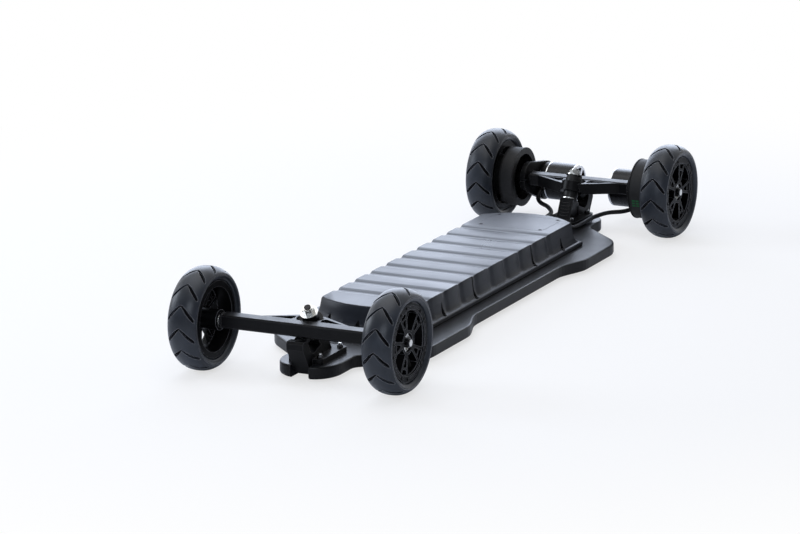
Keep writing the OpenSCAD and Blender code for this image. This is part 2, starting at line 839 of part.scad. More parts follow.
// Wheel pieces: +Y points outwards, the wheel's centre plane is at y = 0
module at_wheel(end, side) {
  stand() at_axle(end) on_side(side) translate([0, track / 2, 0]) children();
}
module spun(points) {
  rotate([-90, 0, 0]) rotate_extrude() polygon(points);
}

shoulder_r = tyre_d / 2 - 9.6;
bead_r = rim_d / 2 - 6;
function crown(h) = shoulder_r + 9.6 * pow(1 - pow(abs(h) / (tyre_w / 2), 2.4), 0.8);
tyre_profile = concat(
  [[bead_r, -rim_w / 2 + 5], [bead_r, -rim_w / 2 + 3.3], [rim_d / 2, -rim_w / 2 + 3.3]],
  [[rim_d / 2 + 2, -rim_w / 2 + 2.6], [rim_d / 2 + 2.3, -tyre_w / 2 + 3.2], [rim_d / 2 + 5.5, -tyre_w / 2 + 0.8]],
  [for (k = [-9 : 9]) let (h = tyre_w / 2 * sin(10 * k)) [crown(h), h]],
  [[rim_d / 2 + 5.5, tyre_w / 2 - 0.8], [rim_d / 2 + 2.3, tyre_w / 2 - 3.2], [rim_d / 2 + 2, rim_w / 2 - 2.6]],
  [[rim_d / 2, rim_w / 2 - 3.3], [bead_r, rim_w / 2 - 3.3], [bead_r, rim_w / 2 - 5]],
  [[rim_d / 2, tyre_w / 2 - 8], [shoulder_r - 2, tyre_w / 2 - 5]],
  [for (k = [6 : -1 : -6]) let (h = (tyre_w / 2 - 6) * sin(14 * k)) [crown(h) - 6, h]],
  [[shoulder_r - 2, -tyre_w / 2 + 5], [rim_d / 2, -tyre_w / 2 + 8]]
);
module tyre() {
  color("darkslategray") spun(tyre_profile);
}

rim_profile = [
  [rim_inner, -rim_w / 2], [rim_d / 2, -rim_w / 2], [rim_d / 2, -rim_w / 2 + 3],
  [bead_r - 0.3, -rim_w / 2 + 3], [bead_r - 0.3, rim_w / 2 - 3], [rim_d / 2, rim_w / 2 - 3],
  [rim_d / 2, rim_w / 2], [rim_inner, rim_w / 2]
];

// A ring sector between two radii, wider or narrower at its inner end
module sector(r0, r1, half0, half1) {
  polygon(concat(
    [for (k = [-3 : 3]) let (a = half1 * k / 3) r1 * [cos(a), sin(a)]],
    [for (k = [3 : -1 : -3]) let (a = half0 * k / 3) r0 * [cos(a), sin(a)]]
  ));
}

module rim() {
  step = 360 / spokes;
  web = rim_inner - 12;
  color("dimgray") difference() {
    union() {
      spun(rim_profile);
      y_cyl(hub_in, hub_out, hub_r);
      y_cyl(spoke_z0, spoke_z1, rim_inner + 1);
    }
    y_cyl(hub_in - 1, hub_out + 1, bearing_d / 2 - 1.5);
    y_cyl(hub_in - 1, hub_in + bearing_w, bearing_d / 2);
    y_cyl(hub_out - bearing_w, hub_out + 1, bearing_d / 2);
    y_cyl(hub_out, spoke_z1 + 1, hub_r - 1.5);
    rotate([-90, 0, 0]) for (k = [0 : spokes - 1]) {
      rotate((k + 0.5) * step) {
        translate([0, 0, spoke_z0 - 1])
          linear_extrude(20) sector(hub_r + 2.5, rim_inner - 1.5, step / 2 - spoke_root, step / 2 - spoke_fork);
        translate([0, 0, rim_w / 2 - 1.5])
          linear_extrude(3) sector(rim_inner + 3, rim_inner + 4.6, step * 0.26, step * 0.26);
      }
      rotate(k * step) translate([0, 0, spoke_z0 - 1]) {
        linear_extrude(20) sector(web + 3, rim_inner - 1.5, bar_angle(web + 3), bar_angle(rim_inner - 1.5));
        linear_extrude(20) sector(hub_r + 8, web, bar_angle(hub_r + 8), bar_angle(web));
      }
    }
  }
}
// Half the angle of the opening between a spoke's two bars, at a radius
function bar_angle(r) =
  let (
    t = (r - hub_r - 2.5) / (rim_inner - hub_r - 4),
    outer = spoke_root * (1 - t) + spoke_fork * t
  )
  max(1, outer - spoke_bar / r * 180 / PI);

module bearings() {
  color("silver") for (y = [hub_in, hub_out - bearing_w])
    translate([0, y, 0]) spun([
      [axle_d / 2 + run_gap, 0], [axle_d / 2 + 2.2, 0], [axle_d / 2 + 2.2, 0.5],
      [bearing_d / 2 - 1.6, 0.5], [bearing_d / 2 - 1.6, 0], [bearing_d / 2, 0],
      [bearing_d / 2, bearing_w], [bearing_d / 2 - 1.6, bearing_w], [bearing_d / 2 - 1.6, bearing_w - 0.5],
      [axle_d / 2 + 2.2, bearing_w - 0.5], [axle_d / 2 + 2.2, bearing_w], [axle_d / 2 + run_gap, bearing_w]
    ]);
}

module front_left_tyre() { at_wheel(1, 1) tyre(); }
module front_left_rim() { at_wheel(1, 1) rim(); }
module front_left_bearings() { at_wheel(1, 1) bearings(); }
module front_right_tyre() { at_wheel(1, -1) tyre(); }
module front_right_rim() { at_wheel(1, -1) rim(); }
module front_right_bearings() { at_wheel(1, -1) bearings(); }
module rear_left_tyre() { at_wheel(-1, 1) tyre(); }
module rear_left_rim() { at_wheel(-1, 1) rim(); }
module rear_left_bearings() { at_wheel(-1, 1) bearings(); }
module rear_right_tyre() { at_wheel(-1, -1) tyre(); }
module rear_right_rim() { at_wheel(-1, -1) rim(); }
module rear_right_bearings() { at_wheel(-1, -1) bearings(); }

// Belt drive pieces are drawn in the plane of the belt: x outwards, y up
module in_drive(side, y) {
  stand() at_axle(-1) on_side(side) translate([0, y, 0]) rotate([90, 0, 0]) children();
}
motor_at = [motor_x, -motor_drop];

// Direction of the belt's upper and lower free runs, and where they leave the pulleys
upper_angle = drive_angle + 90 - wrap;
lower_angle = drive_angle - 90 + wrap;
run_l = centres * cos(wrap);

// Tooth centres: [x, y, direction of the pulley's radius]
tooth_line = 0.35;
function around(centre, r, a) = [centre.x + r * cos(a), centre.y + r * sin(a), a];
function tooth_place(s) =
  let (
    wheel_arc = wheel_pr * (360 - (upper_angle - lower_angle)) * PI / 180,
    motor_arc = motor_pr * (upper_angle - lower_angle) * PI / 180,
    wheel_r = wheel_pr - pitch_gap - tooth_line,
    motor_r = motor_pr - pitch_gap - tooth_line
  )
  s < wheel_arc
  ? around([0, 0], wheel_r, upper_angle + s / wheel_pr * 180 / PI)
  : s < wheel_arc + run_l
  ? let (t = (s - wheel_arc) / run_l, a = lower_angle)
    concat((1 - t) * wheel_r * [cos(a), sin(a)] + t * (motor_at + motor_r * [cos(a), sin(a)]), [a])
  : s < wheel_arc + run_l + motor_arc
  ? around(motor_at, motor_r, lower_angle + (s - wheel_arc - run_l) / motor_pr * 180 / PI)
  : let (t = (s - wheel_arc - run_l - motor_arc) / run_l, a = upper_angle)
    concat((1 - t) * (motor_at + motor_r * [cos(a), sin(a)]) + t * wheel_r * [cos(a), sin(a)], [a]);
// Phase of the motor pulley's grooves, where the belt's teeth come onto it
motor_phase = lower_angle
  - (wheel_pr * (360 - (upper_angle - lower_angle)) * PI / 180 + run_l) / motor_pr * 180 / PI;

// Both pulleys wrapped by a line at a distance outside their pitch circles
module wrapped(out) {
  a = upper_angle;
  b = lower_angle;
  circle(r = wheel_pr + out);
  translate(motor_at) circle(r = motor_pr + out);
  polygon([
    (wheel_pr + out) * [cos(a), sin(a)], (wheel_pr + out) * [cos(b), sin(b)],
    motor_at + (motor_pr + out) * [cos(b), sin(b)], motor_at + (motor_pr + out) * [cos(a), sin(a)]
  ]);
}

module belt(side) {
  in_drive(side, belt_y) linear_extrude(belt_w, center = true) {
    difference() {
      wrapped(belt_back - pitch_gap);
      wrapped(run_gap - pitch_gap);
    }
    for (i = [0 : belt_teeth - 1])
      let (t = tooth_place(i * belt_pitch))
        translate([t[0], t[1]]) intersection() {
          circle(r = tooth_r, $fn = 16);
          rotate(t[2]) translate([0, -2]) square([tooth_line + 0.6, 4]);
        }
    for (i = [0 : belt_teeth - 1])
      let (t = tooth_place(i * belt_pitch))
        translate([t[0], t[1]]) circle(r = tooth_r, $fn = 16);
  }
}
module left_belt() { color("black") belt(1); }
module right_belt() { color("black") belt(-1); }

// A toothed disc with grooves at the belt's pitch
module toothed(pr, teeth, phase) {
  difference() {
    circle(r = pr - pitch_gap);
    for (i = [0 : teeth - 1])
      rotate(phase + i * 360 / teeth)
        translate([pr - pitch_gap - tooth_line, 0]) circle(r = groove_r, $fn = 16);
  }
}

skirt_r = 33;
module wheel_pulley(side) {
  seat = track / 2 + spoke_z0;
  color("dimgray") in_drive(side, belt_y) difference() {
    union() {
      linear_extrude(pulley_w, center = true) toothed(wheel_pr, wheel_teeth, upper_angle);
      for (s = [1, -1])
        translate([0, 0, s * (pulley_w + pulley_flange) / 2])
          cylinder(h = pulley_flange, r = wheel_pr + 2, center = true);
      translate([0, 0, belt_y - seat]) cylinder(h = seat - belt_y, r = skirt_r);
    }
    translate([0, 0, belt_y - seat - 1]) cylinder(h = seat - belt_y + 1 + pulley_w, r = hub_r + 2);
    translate([0, 0, -pulley_w / 2 + 6]) cylinder(h = pulley_w + 2 * pulley_flange, r = wheel_pr - 9);
  }
}
module rear_left_pulley() { wheel_pulley(1); }
module rear_right_pulley() { wheel_pulley(-1); }

module motor_pulley(side) {
  color("silver") in_drive(side, belt_y) translate(motor_at) difference() {
    union() {
      linear_extrude(pulley_w, center = true) toothed(motor_pr, motor_teeth, motor_phase);
      for (s = [1, -1])
        translate([0, 0, s * (pulley_w + pulley_flange) / 2])
          cylinder(h = pulley_flange, r = motor_pr + 2, center = true);
    }
    cylinder(h = 2 * pulley_w, r = shaft_d / 2 + 0.02, center = true);
  }
}
module left_motor_pulley() { motor_pulley(1); }
module right_motor_pulley() { motor_pulley(-1); }

// Plate from the hanger's spigot to the motor
mount_eye_r = 26;
module mount_outline() {
  eye = mount_eye_r - 0.2;
  end = mount_r - 0.2;
  a = asin((end - eye) / centres);
  p = drive_angle + 90 + a;
  q = drive_angle - 90 - a;
  circle(r = mount_eye_r);
  translate(motor_at) circle(r = mount_r);
  polygon([
    eye * [cos(p), sin(p)], eye * [cos(q), sin(q)],
    motor_at + end * [cos(q), sin(q)], motor_at + end * [cos(p), sin(p)]
  ]);
}
module motor_mount(side) {
  color("dimgray") in_drive(side, mount_y) difference() {
    linear_extrude(mount_t, center = true) mount_outline();
    cylinder(h = mount_t + 2, r = spigot_r + run_gap, center = true);
    translate([-mount_eye_r - 1, -1, -mount_t]) cube([mount_eye_r, 2, 2 * mount_t]);
    translate(motor_at) cylinder(h = mount_t + 2, r = shaft_d, center = true);
    at_motor_screws() cylinder(h = mount_t + 2, r = mount_screw_d / 2 + 0.2, center = true);
    rotate(drive_angle) for (s = [1, -1])
      translate([mount_eye_r + 5.5, s * 12, 0]) cylinder(h = mount_t + 2, r = 4.5, center = true);
  }
}
module at_motor_screws() {
  for (k = [0 : 3])
    translate(motor_at + screw_circle * [cos(45 + 90 * k), sin(45 + 90 * k)]) children();
}
module left_motor_mount() { motor_mount(1); }
module right_motor_mount() { motor_mount(-1); }

module motor_screws() {
  color("silver") for (side = [1, -1])
    in_drive(side, mount_y) at_motor_screws() {
      translate([0, 0, -mount_t / 2 - 3.6]) difference() {
        cylinder(h = 3.6, r = 3.5);
        translate([0, 0, -1]) hex_prism(3, 3);
      }
      translate([0, 0, -mount_t / 2 - 1]) cylinder(h = mount_t + 6, r = mount_screw_d / 2);
    }
}

// Motor pieces are drawn along their shaft: z = 0 at the mount's inner face, inwards
module in_motor(side) {
  in_drive(side, mount_y - mount_t / 2) translate(motor_at) children();
}
lead_angle = 200;
module motor_base(side) {
  color("dimgray") in_motor(side) difference() {
    union() {
      cylinder(h = base_h, r = motor_d / 2 - 0.5);
      cylinder(h = base_h + stator_l + 4, r = 9);
      translate([0, 0, base_h / 2]) rotate([0, 0, lead_angle]) x_cyl(motor_d / 2 - 6, motor_d / 2 + 4, base_h / 2 - 0.2);
    }
    translate([0, 0, -1]) cylinder(h = motor_l + 20, r = shaft_d / 2 + 0.3);
    at_base_screws() translate([0, 0, -1]) cylinder(h = 6, r = mount_screw_d / 2 + 0.05);
  }
}
module at_base_screws() {
  for (k = [0 : 3])
    rotate(45 + 90 * k) translate([screw_circle, 0, 0]) children();
}
module left_motor_base() { motor_base(1); }
module right_motor_base() { motor_base(-1); }

// Laminated stator with its copper coils
stator_r = motor_d / 2 - can_wall - 4;
module stator(side) {
  slots = 12;
  color("peru") in_motor(side) translate([0, 0, base_h + 3]) linear_extrude(stator_l) difference() {
    circle(r = stator_r);
    circle(r = 9.05);
    for (k = [0 : slots - 1])
      rotate(k * 360 / slots) translate([14, -1]) square([stator_r - 12, 2]);
    for (k = [0 : slots - 1])
      rotate(k * 360 / slots) translate([14.5, 0]) circle(r = 1.6);
  }
}
module left_stator() { stator(1); }
module right_stator() { stator(-1); }

// Spinning can with its end bell and vents
module motor_can(side) {
  vents = 6;
  vent_half = 180 / vents - 8;
  r = motor_d / 2;
  open = base_h + 0.6;
  top = open + motor_l;
  color("silver") in_motor(side) difference() {
    union() {
      translate([0, 0, open]) cylinder(h = motor_l - 2, r = r);
      translate([0, 0, top - 2]) cylinder(h = 2, r1 = r, r2 = r - 2);
    }
    translate([0, 0, open - 1]) cylinder(h = motor_l - 5 + 1, r = r - can_wall);
    cylinder(h = top + 5, r = shaft_d / 2 + 0.02);
    for (k = [0 : vents - 1])
      rotate((k + 0.5) * 360 / vents) translate([0, 0, top - 8])
        linear_extrude(12) sector(11, r - can_wall - 3, vent_half - 4, vent_half);
  }
}
module left_motor_can() { motor_can(1); }
module right_motor_can() { motor_can(-1); }

shaft_end = belt_y + pulley_w / 2 + 3 - (mount_y - mount_t / 2);
module motor_shaft(side) {
  color("silver") in_motor(side)
    translate([0, 0, -shaft_end]) cylinder(h = shaft_end + base_h + motor_l + 0.6, r = shaft_d / 2);
}
module left_motor_shaft() { motor_shaft(1); }
module right_motor_shaft() { motor_shaft(-1); }

// Motor leads: from the motor's base, inwards past the truck, along the deck to the gland
lead_y = mount_y - mount_t / 2 - base_h / 2;
lead_out = motor_d / 2 + 4;
lead_rest = belly_z + cable_d / 2 + 0.2;
function rear_x(x) = -wheelbase / 2 - x;
lead_dir = [cos(lead_angle), -sin(lead_angle)];
lead_start = [
  rear_x(motor_x + lead_out * cos(lead_angle)), lead_y,
  -motor_drop - lead_out * sin(180 - lead_angle) * -1
];
lead_points = [
  lead_start,
  [rear_x(18), lead_y - 1, -39],
  [rear_x(2), lead_y - 14, -43],
  [rear_x(-16), lead_y - 34, -43],
  [rear_x(-34), 40, lead_rest + 3],
  [rear_x(-58), gland_y, lead_rest + 1.4],
  [rear_x(-58) * 0.45 + (gland_seat() - gland_l - 16) * 0.55, gland_y, lead_rest + 1.6],
  [gland_seat() - gland_l - 16, gland_y, gland_z - 5],
  [gland_seat() - gland_l, gland_y, gland_z]
];

// A smooth curve through points, and a tube swept along it
function curve_point(a, b, c, d, t) =
  0.5 * (2 * b + (c - a) * t + (2 * a - 5 * b + 4 * c - d) * t * t + (3 * b - a - 3 * c + d) * t * t * t);
function curve(p, steps) =
  let (n = len(p))
  concat(
    [
      for (i = [0 : n - 2], k = [0 : steps - 1])
        curve_point(p[max(0, i - 1)], p[i], p[i + 1], p[min(n - 1, i + 2)], k / steps)
    ],
    [p[n - 1]]
  );
module tube(path, r, sides) {
  n = len(path);
  loft([
    for (i = [0 : n - 1])
      let (
        d = path[min(n - 1, i + 1)] - path[max(0, i - 1)],
        t = (i == 0 || i == n - 1) ? end_dir(path, i) : d / norm(d),
        u = cross(t, [0, 0, 1]) / norm(cross(t, [0, 0, 1])),
        v = cross(u, t)
      )
        [for (k = [0 : sides - 1]) path[i] + r * (cos(360 * k / sides) * u - sin(360 * k / sides) * v)]
  ]);
}
function end_dir(path, i) =
  i == 0
  ? [cos(180 - lead_angle), 0, sin(180 - lead_angle)]
  : [1, 0, 0];

module motor_cable(side) {
  stand() color("black") on_side(side) tube(curve(lead_points, 3), cable_d / 2, 10);
}
module left_motor_cable() { motor_cable(1); }
module right_motor_cable() { motor_cable(-1); }

deck();
grip_sheet();
enclosure_cover();
enclosure_gasket();
enclosure_screws();
service_lid();
service_lid_screws();
battery_pack();
motor_controller();
power_button();
charge_socket();
cable_glands();
front_truck_base();
rear_truck_base();
truck_bolts();
truck_nuts();
kingpins();
kingpin_nuts();
bushing_washers();
pivot_cups();
front_bushings();
rear_bushings();
front_hanger();
front_axle();
front_axle_nuts();
rear_hanger();
rear_axle();
rear_axle_nuts();
front_left_tyre();
front_left_rim();
front_left_bearings();
front_right_tyre();
front_right_rim();
front_right_bearings();
rear_left_tyre();
rear_left_rim();
rear_left_bearings();
rear_left_pulley();
rear_right_tyre();
rear_right_rim();
rear_right_bearings();
rear_right_pulley();
left_belt();
right_belt();
left_motor_mount();
right_motor_mount();
left_motor_base();
right_motor_base();
left_stator();
right_stator();
left_motor_can();
right_motor_can();
left_motor_shaft();
right_motor_shaft();
left_motor_pulley();
right_motor_pulley();
motor_screws();
left_motor_cable();
right_motor_cable();
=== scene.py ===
import bpy
import json
import math
from mathutils import Matrix, Vector


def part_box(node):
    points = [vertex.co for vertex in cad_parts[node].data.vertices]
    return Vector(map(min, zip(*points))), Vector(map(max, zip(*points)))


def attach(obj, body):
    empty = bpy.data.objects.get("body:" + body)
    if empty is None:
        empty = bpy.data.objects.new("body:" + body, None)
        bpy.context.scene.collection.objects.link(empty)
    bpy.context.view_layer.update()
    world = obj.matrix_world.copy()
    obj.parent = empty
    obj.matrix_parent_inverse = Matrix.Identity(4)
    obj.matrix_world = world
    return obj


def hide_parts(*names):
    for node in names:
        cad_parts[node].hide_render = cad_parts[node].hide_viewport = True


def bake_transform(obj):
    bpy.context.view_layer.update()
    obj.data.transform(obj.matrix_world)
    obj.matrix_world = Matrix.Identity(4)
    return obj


bl_info = {
    "name": "Electric Mountainboard",
    "version": (1, 0, 0),
    "blender": (4, 5, 0),
    "location": "View3D > Sidebar > Mountainboard",
    "description": "Dresses the mountainboard's solids with treads, trims, cables and finishes",
    "category": "Add Mesh",
}

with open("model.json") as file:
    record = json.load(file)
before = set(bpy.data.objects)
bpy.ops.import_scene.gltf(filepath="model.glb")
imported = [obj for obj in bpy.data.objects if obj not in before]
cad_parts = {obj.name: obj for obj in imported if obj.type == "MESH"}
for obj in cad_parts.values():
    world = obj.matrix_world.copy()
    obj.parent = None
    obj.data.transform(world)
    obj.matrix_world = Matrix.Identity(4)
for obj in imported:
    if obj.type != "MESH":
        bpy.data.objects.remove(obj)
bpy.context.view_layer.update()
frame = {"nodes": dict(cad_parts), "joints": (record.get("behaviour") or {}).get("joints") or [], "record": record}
NODES = frame["nodes"]

FRONT, REAR = 1, -1
LEFT, RIGHT = 1, -1
END_NAME = {FRONT: "front", REAR: "rear"}
SIDE_NAME = {LEFT: "left", RIGHT: "right"}

MM = 0.001
WHEELS = [(end, side) for end in (FRONT, REAR) for side in (LEFT, RIGHT)]
BODY_OF = {node: body for body, nodes in frame["record"]["behaviour"]["bodies"].items() for node in nodes}
SLOT_OF = {part["node"]: part["material_slot"] for part in frame["record"]["subparts"]}

# Mesh columns from one groove pair of the tread to the next
GROOVE_COLUMNS = 10
# Lean of the tread's Vs, in degrees at the shoulder
GROOVE_LEAN = 16.5
# Share of the tread's half width that the grooves reach
GROOVE_REACH = 0.93
# Least distance of a groove from the axle, in metres
GROOVE_FOOT = 0.0684
# Height of the tread above its shoulders, in millimetres
CROWN_DROP = 9.6
# Half width of the rim at the tyre's bead, in millimetres
BEAD_HALF = 19.5

# Turn of the valve round the axle, in degrees
VALVE_TURN = -242
# Distance of the valve's foot inwards from the rim's edge, and sideways from the wheel's middle
VALVE_DEPTH, VALVE_SIDE = 0.009, 0.007
# Height of the bearing clip on its hub, its sweep in degrees, and the radius of its eyes
CLIP_SIDE, CLIP_SWEEP, CLIP_EYE_R = 0.0131, 210, 0.0118
# Rim bolts: circle, face, spokes and turn to each side of a spoke in degrees
BOLT_CIRCLE, BOLT_FACE, SPOKES, BOLT_TURN = 0.0527, 0.0195, 5, 10.5

# Radius round each screw of the cover within which the faces are painted near black as the recess's shade, in
# metres
PAINTED_SHADE_R = 0.0072

# Radii of a bushing in millimetres: bore, end face, body, and its swell
BUSHING_BORE, BUSHING_FACE, BUSHING_BODY, BUSHING_SWELL = 5.2, 11.2, 11.6, 0.9

# The camera fitted to the photo: lens in millimetres, place and axes
LENS = 177.002
EYE = (5.366049, 2.584088, 1.591510)
EYE_RIGHT = (-0.443782, 0.896061, -0.011527)
EYE_UP = (-0.229524, -0.101221, 0.968025)
EYE_BACK = (0.866243, 0.432238, 0.250588)
# The way from the camera to the white wall behind the board
BEHIND = (-0.895, -0.446, 0.35)

COOL = (0.80, 0.88, 1.0)
COLDER = (0.70, 0.80, 1.0)
# Each lamp's name, place, aim, size, power and colour
LAMPS = (
    ("overhead_softbox", (0.3, -0.3, 2.6), (0, 0, 0), (2.6, 2.0), 26, (1, 1, 1)),
    ("back_softbox", (-3.4, -1.75, 1.55), (0, 0, 0.1), (4.2, 2.7), 132, COLDER),
    ("left_softbox", (0.9, -3.2, 1.6), (0, 0, 0.05), (1.8, 1.6), 50, COOL),
    ("front_softbox", (3.2, 0.6, 1.9), (0.3, 0, 0.05), (1.8, 1.2), 30, COOL),
)

BELT_RUBBER = ((0.012, 0.012, 0.013), (0.024, 0.024, 0.025), (0.5, 0.7))
BELT_GREEN = (0.012, 0.105, 0.035)
DARK_STEEL = (0.10, 0.10, 0.104)
DARK_PIN = (0.02, 0.02, 0.022)
BAND_STEEL = (0.62, 0.63, 0.65)


def node_centre(node):
    low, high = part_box(node)
    return (Vector(low) + Vector(high)) / 2


def node_size(node):
    low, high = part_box(node)
    return Vector(high) - Vector(low)


def wheel_name(end, side):
    return f"{END_NAME[end]}_{SIDE_NAME[side]}"


def wheel_centre(end, side):
    return node_centre(wheel_name(end, side) + "_tyre")


def about_axle(degrees):
    return Matrix.Rotation(math.radians(degrees), 4, "Y")


# Settings


class BoardSizes(bpy.types.PropertyGroup):
    """Sizes of the pieces that dress the board"""

    tread_pitches: bpy.props.IntProperty(
        name="Tread pitches", description="Groove pairs round each tyre", default=14, min=6, max=24
    )
    tread_depth: bpy.props.FloatProperty(
        name="Tread depth", description="Depth of the tyre grooves", default=0.0032,
        min=0.001, max=0.004, unit="LENGTH", subtype="DISTANCE",
    )
    groove_width: bpy.props.FloatProperty(
        name="Groove width", description="Width of the tyre grooves", default=0.0070,
        min=0.001, max=0.008, unit="LENGTH", subtype="DISTANCE",
    )
    valve_length: bpy.props.FloatProperty(
        name="Valve length", description="Length of each valve stem and cap", default=0.016,
        min=0.008, max=0.022, unit="LENGTH", subtype="DISTANCE",
    )


class BoardColours(bpy.types.PropertyGroup):
    """Colours of the board's finishes"""

    tyre: bpy.props.FloatVectorProperty(
        name="Tyre", description="Rubber of the tyres", default=(0.015, 0.018, 0.024),
        size=3, min=0, max=1, subtype="COLOR",
    )
    cover: bpy.props.FloatVectorProperty(
        name="Cover", description="Plastic of the battery cover", default=(0.012, 0.0135, 0.018),
        size=3, min=0, max=1, subtype="COLOR",
    )
    deck: bpy.props.FloatVectorProperty(
        name="Deck", description="Paint of the deck", default=(0.006, 0.006, 0.0065),
        size=3, min=0, max=1, subtype="COLOR",
    )
    alloy: bpy.props.FloatVectorProperty(
        name="Alloy", description="Black finish of the trucks", default=(0.004, 0.004, 0.0045),
        size=3, min=0, max=1, subtype="COLOR",
    )
    steel: bpy.props.FloatVectorProperty(
        name="Steel", description="Bright steel of nuts and axles", default=(0.62, 0.62, 0.60),
        size=3, min=0, max=1, subtype="COLOR",
    )


# Ways of making a piece


def deselect():
    if bpy.context.object and bpy.context.object.mode != "OBJECT":
        bpy.ops.object.mode_set(mode="OBJECT")
    bpy.ops.object.select_all(action="DESELECT")


def choose(obj):
    deselect()
    obj.select_set(True)
    bpy.context.view_layer.objects.active = obj


def smoothed(obj, degrees=32):
    """Shades a piece smooth, with its sharper edges kept."""
    choose(obj)
    bpy.ops.object.shade_smooth_by_angle(angle=math.radians(degrees))
    return obj


def turned(name, outline, steps=40, sweep=360):
    """Spins a closed outline of (radius, height) pairs in millimetres round the Y axis, as on a lathe."""
    deselect()
    bpy.ops.mesh.primitive_circle_add(vertices=len(outline), radius=1)
    obj = bpy.context.object
    obj.name = obj.data.name = name
    for vertex, (radius, height) in zip(obj.data.vertices, outline):
        vertex.co = (radius * MM, height * MM, 0)
    bpy.ops.object.mode_set(mode="EDIT")
    bpy.ops.mesh.select_all(action="SELECT")
    bpy.ops.mesh.spin(steps=steps, angle=math.radians(sweep), center=(0, 0, 0), axis=(0, 1, 0))
    bpy.ops.mesh.select_all(action="SELECT")
    bpy.ops.mesh.remove_doubles(threshold=1e-6)
    if sweep < 360:
        bpy.ops.mesh.select_mode(type="EDGE")
        bpy.ops.mesh.select_all(action="DESELECT")
        bpy.ops.mesh.select_non_manifold()
        bpy.ops.mesh.fill_holes(sides=0)
        bpy.ops.mesh.select_all(action="SELECT")
        bpy.ops.mesh.select_mode(type="FACE")
        bpy.ops.mesh.select_all(action="SELECT")
    bpy.ops.mesh.normals_make_consistent(inside=False)
    bpy.ops.object.mode_set(mode="OBJECT")
    return obj


def copy_to(pattern, name, matrix, body, slot, flip=False):
    """Copies a pattern with its own mesh, mirrored across Y where it is for the right side."""
    mesh = pattern.data.copy()
    mesh.name = name
    if flip:
        mesh.transform(Matrix.Scale(-1, 4, (0, 1, 0)))
        mesh.flip_normals()
    mesh.transform(matrix)
    obj = bpy.data.objects.new(name, mesh)
    bpy.context.scene.collection.objects.link(obj)
    dress(obj, finishes()[slot])
    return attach(obj, body)


def done_with(pattern):
    bpy.data.objects.remove(pattern)


def welded(node, name):
    """A copy of a solid's mesh with its loose triangles joined up."""
    mesh = NODES[node].data.copy()
    mesh.name = name
    obj = bpy.data.objects.new(name, mesh)
    bpy.context.scene.collection.objects.link(obj)
    choose(obj)
    bpy.ops.object.mode_set(mode="EDIT")
    bpy.ops.mesh.select_all(action="SELECT")
    bpy.ops.mesh.remove_doubles(threshold=2e-6)
    bpy.ops.object.mode_set(mode="OBJECT")
    return obj


def stand_in(obj, node):
    """Puts a finished piece in the place of its solid."""
    dress(obj, finishes()[SLOT_OF[node]])
    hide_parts(node)
    return obj


def screw_axes(node):
    """The middle of each loose solid of a node, as seen from above."""
    obj = welded(node, "screw_axes")
    choose(obj)
    bpy.ops.object.mode_set(mode="EDIT")
    bpy.ops.mesh.separate(type="LOOSE")
    bpy.ops.object.mode_set(mode="OBJECT")
    axes = []
    for piece in list(bpy.context.selected_objects):
        corners = [vertex.co.xy for vertex in piece.data.vertices]
        axes.append((Vector(map(min, zip(*corners))) + Vector(map(max, zip(*corners)))) / 2)
        done_with(piece)
    return axes


def kingpin_way(end):
    """The direction of a truck's kingpin, upwards and square to the axis that the truck leans on."""
    joint = next(j for j in frame["joints"] if j["name"] == END_NAME[end] + "_lean")
    lean = Vector(joint["axis"])
    pin = Vector((-lean.z, 0, lean.x))
    return pin if pin.z > 0 else -pin


# Node groups


def socket(group, name, kind, way, default=None):
    made = group.interface.new_socket(name=name, in_out=way, socket_type=kind)
    if default is not None:
        made.default_value = default
    return made


def grain_group():
    """Two sizes of mottling: a colour, a roughness and a height."""
    group = bpy.data.node_groups.get("Mottled Grain")
    if group:
        return group
    group = bpy.data.node_groups.new("Mottled Grain", "ShaderNodeTree")
    socket(group, "Base", "NodeSocketColor", "INPUT", (0.02, 0.02, 0.02, 1))
    socket(group, "Lift", "NodeSocketColor", "INPUT", (0.05, 0.05, 0.05, 1))
    socket(group, "Patch Size", "NodeSocketFloat", "INPUT", 12.0)
    socket(group, "Grain Size", "NodeSocketFloat", "INPUT", 900.0)
    socket(group, "Least Roughness", "NodeSocketFloat", "INPUT", 0.3)
    socket(group, "Most Roughness", "NodeSocketFloat", "INPUT", 0.5)
    socket(group, "Colour", "NodeSocketColor", "OUTPUT")
    socket(group, "Roughness", "NodeSocketFloat", "OUTPUT")
    socket(group, "Height", "NodeSocketFloat", "OUTPUT")
    n, link = group.nodes, group.links.new
    given, out = n.new("NodeGroupInput"), n.new("NodeGroupOutput")
    place = n.new("ShaderNodeTexCoord")
    patch, grain = n.new("ShaderNodeTexNoise"), n.new("ShaderNodeTexNoise")
    patch.inputs["Detail"].default_value = 4
    grain.inputs["Detail"].default_value = 2
    for noise, size in ((patch, "Patch Size"), (grain, "Grain Size")):
        link(place.outputs["Object"], noise.inputs["Vector"])
        link(given.outputs[size], noise.inputs["Scale"])
    mix = n.new("ShaderNodeMix")
    mix.data_type = "RGBA"
    ramp = n.new("ShaderNodeMapRange")
    ramp.inputs["From Min"].default_value = 0.42
    ramp.inputs["From Max"].default_value = 0.78
    link(patch.outputs["Fac"], ramp.inputs["Value"])
    link(ramp.outputs["Result"], mix.inputs["Factor"])
    link(given.outputs["Base"], mix.inputs["A"])
    link(given.outputs["Lift"], mix.inputs["B"])
    link(mix.outputs["Result"], out.inputs["Colour"])
    rough = n.new("ShaderNodeMapRange")
    rough.inputs["From Min"].default_value = 0.3
    rough.inputs["From Max"].default_value = 0.7
    link(patch.outputs["Fac"], rough.inputs["Value"])
    link(given.outputs["Least Roughness"], rough.inputs["To Min"])
    link(given.outputs["Most Roughness"], rough.inputs["To Max"])
    link(rough.outputs["Result"], out.inputs["Roughness"])
    link(grain.outputs["Fac"], out.inputs["Height"])
    return group


